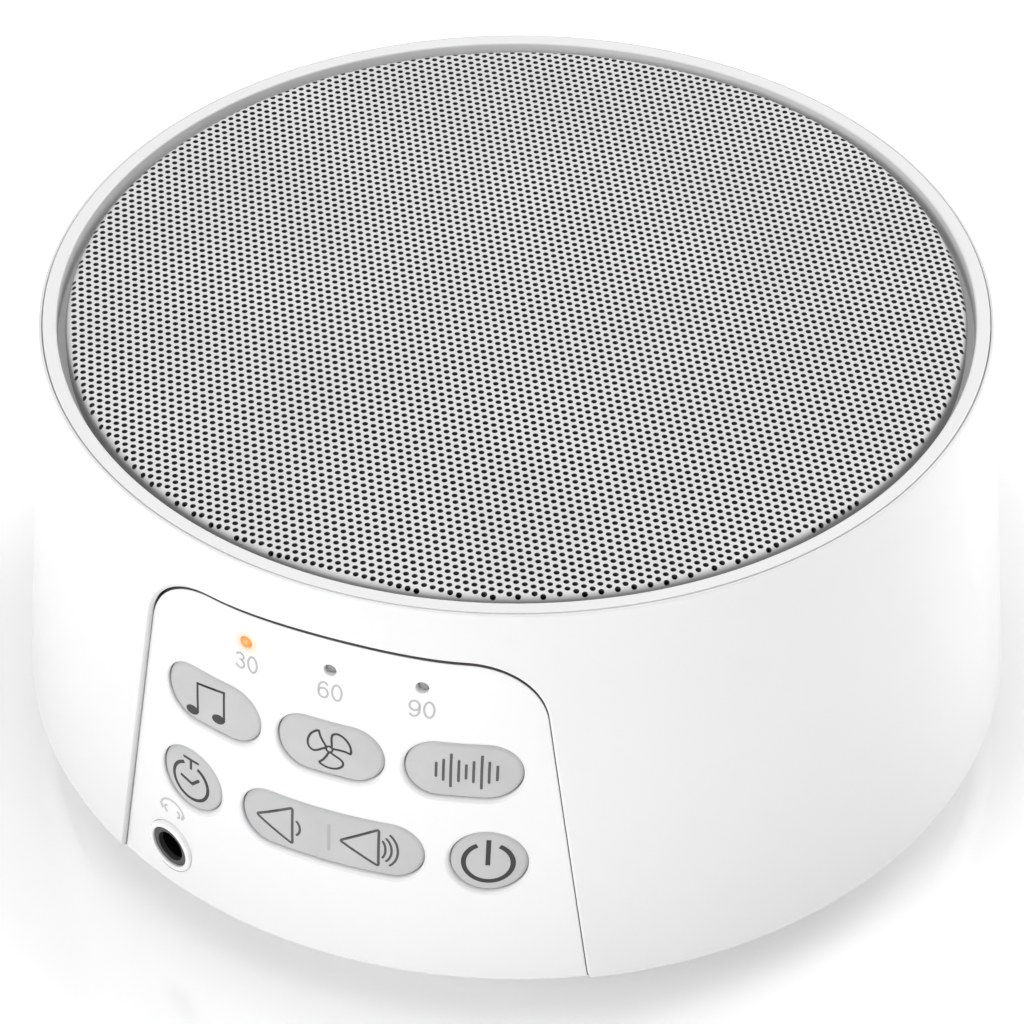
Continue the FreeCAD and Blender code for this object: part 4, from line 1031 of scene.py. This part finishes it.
def signs():
    F = {name: key_face(kx, kz, wd, tl) for name, kx, kz, wd, tl in KEYS}
    pos = {name: (kx, kz + (0.2 if kz > 30 else 0.0)) for name, kx, kz, wd, tl in KEYS}
    # two joined notes
    kx, kz = pos["music"]
    q = rel(280, 293.5)
    st = [chain(dense(at([q(244, 336), q(244, 268), q(306, 258.5), q(306, 325)], kx, kz)), 0.26)]
    heads = [[[(q(cx, cy)[0] + kx + 0.85 * math.cos(a) * math.cos(0.35) - 0.60 * math.sin(a) * math.sin(0.35),
                q(cx, cy)[1] + kz + 0.85 * math.cos(a) * math.sin(0.35) + 0.60 * math.sin(a) * math.cos(0.35)) for a in np.linspace(0, 2 * math.pi, 28, endpoint=False)]]
             for cx, cy in ((230.5, 338), (292.5, 327))]
    sign("music_sign", st + heads, F["music"], M["ink"], "music_key")
    # fan with three blades
    kx, kz = pos["fan"]
    kx += 0.15
    blades = []
    for k in range(3):
        pts = [(0.42, 10), (0.85, 33), (1.45, 42), (2.0, 40), (2.36, 27), (2.48, 8), (2.50, -12), (2.44, -29), (2.36, -36.5), (2.26, -37.5), (1.75, -33), (1.1, -28), (0.6, -22), (0.40, -8)]
        pts = [(r * math.cos(math.radians(39 + 120 * k + a)), r * math.sin(math.radians(39 + 120 * k + a))) for r, a in pts]
        pts = [(kx - 0.12 + x, kz - 0.15 + y) for x, y in smooth_loop(pts, 5)]
        blades.append(chain(pts, 0.25, closed=True))
    hub = [arc_pts(kx - 0.12, kz - 0.15, 0.47, 0.47, 0, 345, 23), arc_pts(kx - 0.12, kz - 0.15, 0.25, 0.25, 0, 345, 23)]
    sign("fan_sign", blades + [hub], F["fan"], M["ink"], "fan_key")
    # sound bars
    kx, kz = pos["noise"]
    q = rel(788, 299.0)
    bars = []
    kx, kz = kx - 0.42, kz - 0.2
    for x, a, b in ((746, 280, 316), (760, 271, 324), (774, 257, 339), (789, 271, 324), (803, 280, 316), (817, 271, 324), (832, 257, 339), (846, 271, 324), (861, 280, 317)):
        x, a, b = 803 + (x - 803) * 0.95, 298 + (a + 2 - 298) * 0.95, 298 + (b - 2 - 298) * 0.95
        bars.append(chain(dense(at([q(x, a), q(x, b)], kx, kz)), 0.28))
    sign("noise_sign", bars, F["noise"], M["ink_soft"], "noise_key")
    # timer
    kx, kz = pos["timer"]
    q = rel(227.5, 511.0)
    c0 = q(225, 516)
    ring = chain(at(arc_pts(c0[0] - 0.06, c0[1] - 0.1, 2.3, 2.3, 90 + 22, 90 + 360 - 24, 60), kx, kz), 0.38, False)
    parts = [ring, chain(dense(at([q(208, 466), q(242, 466)], kx, kz)), 0.28), chain(dense(at([q(225, 467), q(225, 488)], kx, kz)), 0.30, False),
             chain(dense(at([q(202, 514), q(228, 521), q(243, 506)], kx, kz)), 0.36)]
    sign("timer_sign", parts, F["timer"], M["ink"], "timer_key")
    # volume: down, divider, up
    kx, kz = pos["volume"]
    q = rel(538, 509.0)
    tri = chain(round_poly(at([q(384, 511), q(462, 466), q(462, 553)], kx, kz), 0.38), 0.30, closed=True)
    tri2 = chain(round_poly(at([q(560, 508), q(637, 463), q(637, 551)], kx, kz), 0.38), 0.30, closed=True)
    waves = [chain(at(arc_pts(*q(461, 511), 0.95, 1.12, -52, 52, 14), kx, kz), 0.28)]
    for j, (rr, hh) in enumerate(((0.72, 1.08), (1.38, 1.5), (2.05, 2.02))):
        waves.append(chain(at(arc_pts(*q(637.5, 508), rr, hh * 1.22, -54, 54, 16), kx, kz), 0.26))
    sign("volume_sign", [tri, tri2] + waves, F["volume"], M["ink_soft"], "volume_key")
    # divider line: a grey film that paints the groove's shade
    sign("volume_divider", [chain(dense(at([q(538, 480), q(538, 538)], kx, kz)), 0.34)], F["volume"], M["groove"], "volume_key", 0.015)
    # power
    kx, kz = pos["power"]
    q = rel(846.5, 511.0)
    c0 = q(847, 510)
    ring = chain(at(arc_pts(c0[0], c0[1] - 0.14, 2.46, 2.46, 90 + 27, 90 + 360 - 27, 60), kx, kz), 0.50, False)
    sign("power_sign", [ring, chain(dense(at([q(847, 459), q(847, 518)], kx, kz)), 0.48, False)], F["power"], M["ink"], "power_key")
    # plain minutes and headphones on the panel
    FP = front(0.63)
    digits = {
        "3": [arc_pts(0.60, 1.47, 0.42, 0.40, 155, -90, 14) + arc_pts(0.60, 0.53, 0.47, 0.53, 90, -155, 16)[1:]],
        "6": [arc_pts(0.60, 0.60, 0.50, 0.60, 0, 345, 23), [(0.10, 0.62)] + arc_pts(0.66, 1.00, 0.56, 0.95, 180, 48, 12)],
        "9": [arc_pts(0.60, 1.35, 0.50, 0.60, 0, 345, 23), [(1.10, 1.33)] + arc_pts(0.54, 0.95, 0.56, 0.95, 0, -132, 12)],
        "0": [arc_pts(0.60, 0.975, 0.50, 0.975, 0, 352, 30)],
    }
    for i, (text, lx) in enumerate((("30", -9.7), ("60", 0.0), ("90", 9.7))):
        groups = []
        for j, ch in enumerate(text):
            for k, line in enumerate(digits[ch]):
                ox = lx - 1.42 + 1.50 * j
                pts = [(ox + a * 1.04, 42.4 - 0.98 + b) for a, b in line]
                ring = ch == "0" or (ch in "69" and k == 0)
                groups.append(chain(pts, 0.22, closed=ring))
        sign("minutes_" + text, groups, FP, M["digit"], "housing", 0.03)
    # headphones over the socket: arc length along the panel is turned back to the front view
    def hp(px, py):
        u, zz = -30 + px / 18.0, 55.4 - 4 - py / 18.0
        a = u / (R(zz) - 0.63)
        return (math.sin(a) * (R(zz) - 0.63), zz)
    band = [hp(175 + 31 * math.cos(math.radians(a)), 616 - 25 * math.sin(math.radians(a))) for a in np.linspace(172, 8, 26)]
    left = [hp(160 + 5.0 * math.cos(a), 617 + 7.0 * math.sin(a)) for a in np.linspace(math.pi * 0.5, math.pi * 1.5, 12)]
    right_pad = [hp(190 + 5.0 * math.cos(a), 617 + 7.0 * math.sin(a)) for a in np.linspace(-math.pi * 0.5, math.pi * 0.5, 12)]
    ends = [[hp(144, 613), hp(148, 620)], [hp(206, 613), hp(202, 620)]]
    sign("headphones_sign", [chain(band, 0.22), chain(left, 0.24), chain(right_pad, 0.24)] + [chain(dense(e, 0.3), 0.34) for e in ends], FP, M["faint"], "housing", 0.03)


# ------------------------------------------------------------------ lights, socket, bezel
def lights():
    for k, name in enumerate(("30", "60", "90")):
        B = Build()
        x, z = LED[k]
        tip = -led_point(k, 0.66 if k == 0 else 0.98).y * 1000
        turn(B, [(0, tip - 0.0), (0.40, tip - 0.045, 0.5), (0.66, tip - 0.20, 0.06), (0.66, 43.0, 0.05), (0, 43.0)], 32, 4, (x, 0, z), (0, -1, 0))
        B.done("light_tip_" + name, M["lit"] if k == 0 else M["unlit"], "housing", ["light_pipe_" + name])


def socket():
    B = Build()
    turn(B, [(2.5, 51.9), (3.15, 51.9), (3.15, 55.20, 0.32), (2.5, 55.20, 0.18)], 96, 7, (0, 0, 12.2), JD)
    B.done("socket_collar", M["collar"], "housing", ["jack_collar"])
    B = Build()
    turn(B, [(1.8, 54.3), (1.8, 54.96, 0.10), (2.45, 54.96, 0.14), (2.45, 50.0), (2.45, 41.2), (2.2, 41.0), (1.9, 41.0), (1.9, 54.3)], 96, 5, (0, 0, 12.2), JD)
    # bore wall and bottom take the painted-shade black
    turn(B, [(1.8, 41.0), (1.8, 54.29), (1.89, 54.29), (1.89, 41.0)], 96, 5, (0, 0, 12.2), JD, mat=1)
    turn(B, [(0, 41.0), (0, 41.4), (1.79, 41.4), (1.79, 41.0)], 48, 2, (0, 0, 12.2), JD, mat=1)
    # rectangular body behind the nose
    e = 0.25
    prof = []
    for sx, sz, a0 in ((1, 1, 0), (-1, 1, 90), (-1, -1, 180), (1, -1, 270)):
        for k in range(5):
            a = math.radians(a0 + 90 * k / 4)
            prof.append((sx * (3.1 - e) + e * math.cos(a), sz * (2.8 - e) + e * math.sin(a), math.cos(a), math.sin(a)))
    prof = np.array(prof)

    def sec(s, k=1.0):
        return JD * s + JT * (prof[:, 0] * k)[:, None] + np.stack([0 * prof[:, 0], 0 * prof[:, 0], 12.2 + prof[:, 1] * k], 1)

    sn = JT * prof[:, 2][:, None] + np.stack([0 * prof[:, 0], 0 * prof[:, 0], prof[:, 3]], 1)
    B.strip(sec(51.0), sn, sec(38.5), sn)
    for s, d in ((51.0, 1), (38.5, -1)):
        nn = np.tile(JD * d, (len(prof), 1))
        B.strip(sec(s), nn, sec(s, 0.0) if d < 0 else sec(s, 0.75), nn)
    B.done("socket_body", [M["jack"], M["jack_dark"]], "housing", ["headphone_jack"])


def bezel():
    B = Build()
    turn(B, [(49.7, 53.6), (51.2, 53.6), (51.2, 55.4, 0.12), (49.7, 55.4, 0.26)], 480, 8)
    B.done("bezel_ring", M["bezel"], "housing", ["top_bezel"])


# ------------------------------------------------------------------ perforated grille
PITCH, X0, Y0, HOLE = 0.934, -0.071, -0.244, 0.315
TOP, SHEET, ROLL, FLAT = 55.15, 0.5, 1.0, 47.8


def bend(P, lower):
    """Flat sheet to its rolled edge."""
    r = np.hypot(P[:, 0], P[:, 1])
    a = np.clip((r - FLAT) / ROLL, 0, math.pi / 2)
    down = np.maximum(r - FLAT - ROLL * math.pi / 2, 0)
    rr = np.where(r > FLAT, FLAT + ROLL * np.sin(a), r)
    zz = np.where(r > FLAT, TOP - ROLL * (1 - np.cos(a)) - down, TOP)
    nr, nz = np.sin(a), np.cos(a)
    if lower:
        rr, zz = rr - nr * SHEET, zz - nz * SHEET
    q = np.where(r > 1e-9, r, 1)
    c, s = P[:, 0] / q, P[:, 1] / q
    return np.stack([rr * c, rr * s, zz], 1), np.stack([nr * c, nr * s, nz], 1)


def grille():
    cells = []
    for j in range(-55, 56):
        for i in range(-55, 56):
            cells.append((X0 + PITCH * (i + (j % 2) / 2), Y0 + PITCH * j))
    cells = np.array(cells)
    rad = np.hypot(cells[:, 0], cells[:, 1])
    yc = 0.375 * PITCH
    hexa = np.array([(PITCH / 2, yc), (0, PITCH - yc), (-PITCH / 2, yc), (-PITCH / 2, -yc), (0, -(PITCH - yc)), (PITCH / 2, -yc)])
    ring = np.array([(HOLE * math.cos(math.radians(30 * k)), HOLE * math.sin(math.radians(30 * k))) for k in range(12)])
    local = np.vstack([ring, hexa])
    P, T, ids = cdt([hexa, ring], np.zeros((0, 2)))
    TT = ids[T]          # numbers in the order hexagon, then ring
    loc = np.vstack([hexa, ring])
    field = 46.0
    zones = [(0, 26.6), (26.6, 37.6), (37.6, field)]
    for k, (lo, hi) in enumerate(zones):
        c = cells[(rad >= lo) & (rad < hi)]
        n = len(c)
        flat = (c[:, None, :] + loc[None, :, :]).reshape(-1, 2)
        up = np.column_stack([flat, np.full(len(flat), TOP)])
        dn = np.column_stack([flat, np.full(len(flat), TOP - SHEET)])
        off = (np.arange(n) * 18)[:, None, None]
        B = Build()
        tri = (TT[None] + off).reshape(-1, 3)
        B.add(up, tri, np.tile([0, 0, 1.0], (len(up), 1)))
        B.add(dn, tri, np.tile([0, 0, -1.0], (len(dn), 1)))
        i = np.arange(12)
        j = (i + 1) % 12
        w = np.vstack([np.stack([6 + i, 6 + j, 6 + j + 18 * n], 1), np.stack([6 + i, 6 + j + 18 * n, 6 + i + 18 * n], 1)])
        wall = (w[None] + off).reshape(-1, 3)
        inward = np.zeros((18, 3))
        inward[6:, :2] = -ring / HOLE
        wn = np.tile(inward, (n, 1))
        # hole walls take the dark finish: painted shade
        B.add(np.vstack([up, dn]), wall, np.vstack([wn, wn]), 1)
        ob = B.done("grille_" + ("centre", "middle", "outer")[k], [M["grille"], M["punched"]], "housing", ["speaker_grille"], smooth=False)
        plan(ob, lambda co: co)
    # border of the field: hexagon edges that only one cell uses
    c = cells[rad < field]
    count, where = {}, {}
    for q in c:
        hx = q + hexa
        keys_ = [(round((a - X0) / PITCH * 2), round((b_ - Y0) / PITCH * 8)) for a, b_ in hx]
        for a in range(6):
            e = (keys_[a], keys_[(a + 1) % 6])
            where[e[0]] = hx[a]
            where[e[1]] = hx[(a + 1) % 6]
            count[e] = 1
    follow = {a: b_ for (a, b_) in count if (b_, a) not in count}
    start = next(iter(follow))
    loop, cur = [], start
    while True:
        loop.append(where[cur])
        cur = follow[cur]
        if cur == start or len(loop) > 20000:
            break
    loop = np.array(loop)
    last = FLAT + math.pi / 2 * ROLL + (TOP - ROLL - 52.6)
    segs = 540
    th = np.linspace(0, 2 * math.pi, segs, endpoint=False)
    outer = np.stack([last * np.cos(th), last * np.sin(th)], 1)
    hc = cells[(rad >= field) & (rad < 48.62)]
    holes = [q + ring for q in hc]
    pts = []
    for r in np.concatenate([[47.2, 47.6], np.arange(47.85, FLAT + math.pi / 2, 0.16), [FLAT + math.pi / 2 + 0.02]]):
        shift = 0.5 * (len(pts) % 2)
        pts.append(np.stack([r * np.cos(th), r * np.sin(th)], 1))
    pts = np.vstack(pts)
    tree = KDTree(len(hc))
    for i, q in enumerate(hc):
        tree.insert((q[0], q[1], 0), i)
    tree.balance()
    pts = np.array([p for p in pts if tree.find((p[0], p[1], 0))[2] > HOLE + 0.05])
    border = KDTree(len(loop))
    for i, q in enumerate(loop):
        border.insert((q[0], q[1], 0), i)
    border.balance()
    pts = np.array([p for p in pts if border.find((p[0], p[1], 0))[2] > 0.25])
    pts = pts[~within(pts, [loop])]
    P, T, ids = cdt([outer, loop] + holes, pts)
    B = Build()
    up, nu = bend(P, False)
    dn, _ = bend(P, True)
    B.add(up, T, nu)
    B.add(dn, T, -nu)
    for q in hc:
        flat = q + ring
        a, _ = bend(flat, False)
        b_, nn = bend(flat, True)
        mid, _ = bend(q[None], False)
        w = mid - a
        w -= nn * (w * nn).sum(1)[:, None]
        # hole walls take the dark finish: painted shade
        B.strip(a, w, b_, w, mat=1)
    a, _ = bend(outer, False)
    b_, nn = bend(outer, True)
    dn_ = np.tile([0, 0, -1.0], (len(a), 1))
    B.strip(a, dn_, b_, dn_)
    # the rolled rim carries painted shade, darker the lower it turns
    B.done("grille_rim", [M["roll"], M["punched"]], "housing", ["speaker_grille"])


def plan(ob, how):
    """Flat map for the sheet: upper face as seen, hole walls folded into the holes, under face beside it."""
    me = ob.data
    uv = me.uv_layers.new(name="OFBake")
    n = len(me.loops)
    idx = np.empty(n, np.int32)
    me.loops.foreach_get("vertex_index", idx)
    co = np.empty(len(me.vertices) * 3, np.float32)
    me.vertices.foreach_get("co", co)
    co = co.reshape(-1, 3) * 1000
    P = co[idx]
    faces = P.reshape(-1, 3, 3)
    low = faces[:, :, 2] < TOP - 0.1
    under = low.all(1)
    wall = low.any(1) & ~under
    out = P[:, :2].copy().reshape(-1, 3, 2)
    cy = np.round((faces[:, :, 1] - Y0) / PITCH)
    cx = np.round((faces[:, :, 0] - X0) / PITCH - (cy % 2) / 2)
    ctr = np.stack([X0 + PITCH * (cx + (cy % 2) / 2), Y0 + PITCH * cy], 2)
    shrink = wall[:, None] & low
    out[shrink] = ctr[shrink] + (out[shrink] - ctr[shrink]) * 0.5
    out = out / 104.0 * 0.49 + 0.5 * np.array([0.5, 1.0])
    out[under] += np.array([0.5, 0.0])
    uv.data.foreach_set("uv", out.reshape(-1).astype(np.float32))


shell()
bezel()
panel()
keys()
signs()
lights()
socket()
grille()

# ------------------------------------------------------------------ carried-over CAD nodes
FINISH = {
    "grille_scrim": "scrim", "keypad_mat": "mat", "indicator_lamps": "lamp", "control_board": "board", "board_screws": "steel",
    "speaker_gasket": "foam", "speaker_basket": "steel", "speaker_cone": "paper", "cone_surround": "rubber", "dust_cap": "paper",
    "voice_coil": "coil", "speaker_spider": "spider", "magnet_top_plate": "steel", "magnet_ring": "ferrite", "magnet_yoke": "steel",
    "speaker_screws": "steel", "base_cover": "base", "rubber_foot_ring": "foot", "base_screws": "steel", "main_board": "board",
    "main_board_screws": "steel", "sound_chip": "dark", "amplifier_chip": "dark", "capacitors": "can", "ribbon_connector": "lamp",
    "board_ribbon": "ribbon", "power_inlet": "dark", "inlet_pin": "steel",
}
for name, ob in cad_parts.items():
    key = "carbon" if name.endswith("_contact") else FINISH.get(name)
    if key is None:
        continue
    ob.data.materials.clear()
    ob.data.materials.append(M[key])

# ------------------------------------------------------------------ floor, light, world
floor_me = bpy.data.meshes.new("floor")
S = 3.0
floor_me.from_pydata([(-S, -S, 0), (S, -S, 0), (S, S, 0), (-S, S, 0)], [], [(0, 1, 2, 3)])
floor = bpy.data.objects.new("floor", floor_me)
bpy.context.scene.collection.objects.link(floor)
m, t, b = fresh("floor_white")
n = noise(t, 6.0, 2.0)
t.links.new(ramp(t, n.outputs["Fac"], [(0.3, g(0.93)), (0.7, g(0.945))]).outputs["Color"], b.inputs["Base Color"])
b.inputs["Roughness"].default_value = 0.12
b.inputs["Specular IOR Level"].default_value = 0.9
b.inputs["Emission Color"].default_value = (1, 1, 1, 1)
# floor emission grows with distance from the body: weaker close by, a painted shadow around it, stronger further out
tc = t.nodes.new("ShaderNodeTexCoord")
far = t.nodes.new("ShaderNodeVectorMath")
far.operation = "LENGTH"
t.links.new(tc.outputs["Object"], far.inputs[0])
floor_painted_shadow_lift = t.nodes.new("ShaderNodeMapRange")
floor_painted_shadow_lift.interpolation_type = "SMOOTHSTEP"
floor_painted_shadow_lift.inputs["From Min"].default_value, floor_painted_shadow_lift.inputs["From Max"].default_value = 0.064, 0.100
floor_painted_shadow_lift.inputs["To Min"].default_value, floor_painted_shadow_lift.inputs["To Max"].default_value = 0.15, 0.62
t.links.new(far.outputs["Value"], floor_painted_shadow_lift.inputs["Value"])
t.links.new(floor_painted_shadow_lift.outputs["Result"], b.inputs["Emission Strength"])
floor_me.materials.append(m)

world = bpy.data.worlds.new("studio")
bpy.context.scene.world = world
world.use_nodes = True
world.node_tree.nodes["Background"].inputs["Color"].default_value = (1, 1, 1, 1)
world.node_tree.nodes["Background"].inputs["Strength"].default_value = 0.36


def soft_box(name, azimuth, elevation, distance, wide, tall, power, colour=(1, 1, 1)):
    """Area light aimed at the middle of the body. azimuth counts from the camera's side, right positive."""
    a, e = math.radians(azimuth) + AZ, math.radians(elevation)
    d = Vector((math.sin(a) * math.cos(e), -math.cos(a) * math.cos(e), math.sin(e)))
    L = bpy.data.lights.new(name, "AREA")
    L.shape, L.size, L.size_y = "RECTANGLE", wide, tall
    L.energy, L.color = power, colour
    o = bpy.data.objects.new(name, L)
    bpy.context.scene.collection.objects.link(o)
    o.location = Vector((0, 0, 0.03)) + d * distance
    o.rotation_euler = (-d).to_track_quat("-Z", "Y").to_euler()
    return o


soft_box("key_left", -45, 28, 1.6, 0.9, 0.7, 9.5)
soft_box("rim_right", 122, 28, 1.6, 0.9, 0.7, 9.5)
soft_box("top", 0, 88, 1.8, 1.6, 1.6, 12.0)

bpy.context.scene.view_settings.view_transform = "Standard"
bpy.context.scene.view_settings.look = "None"
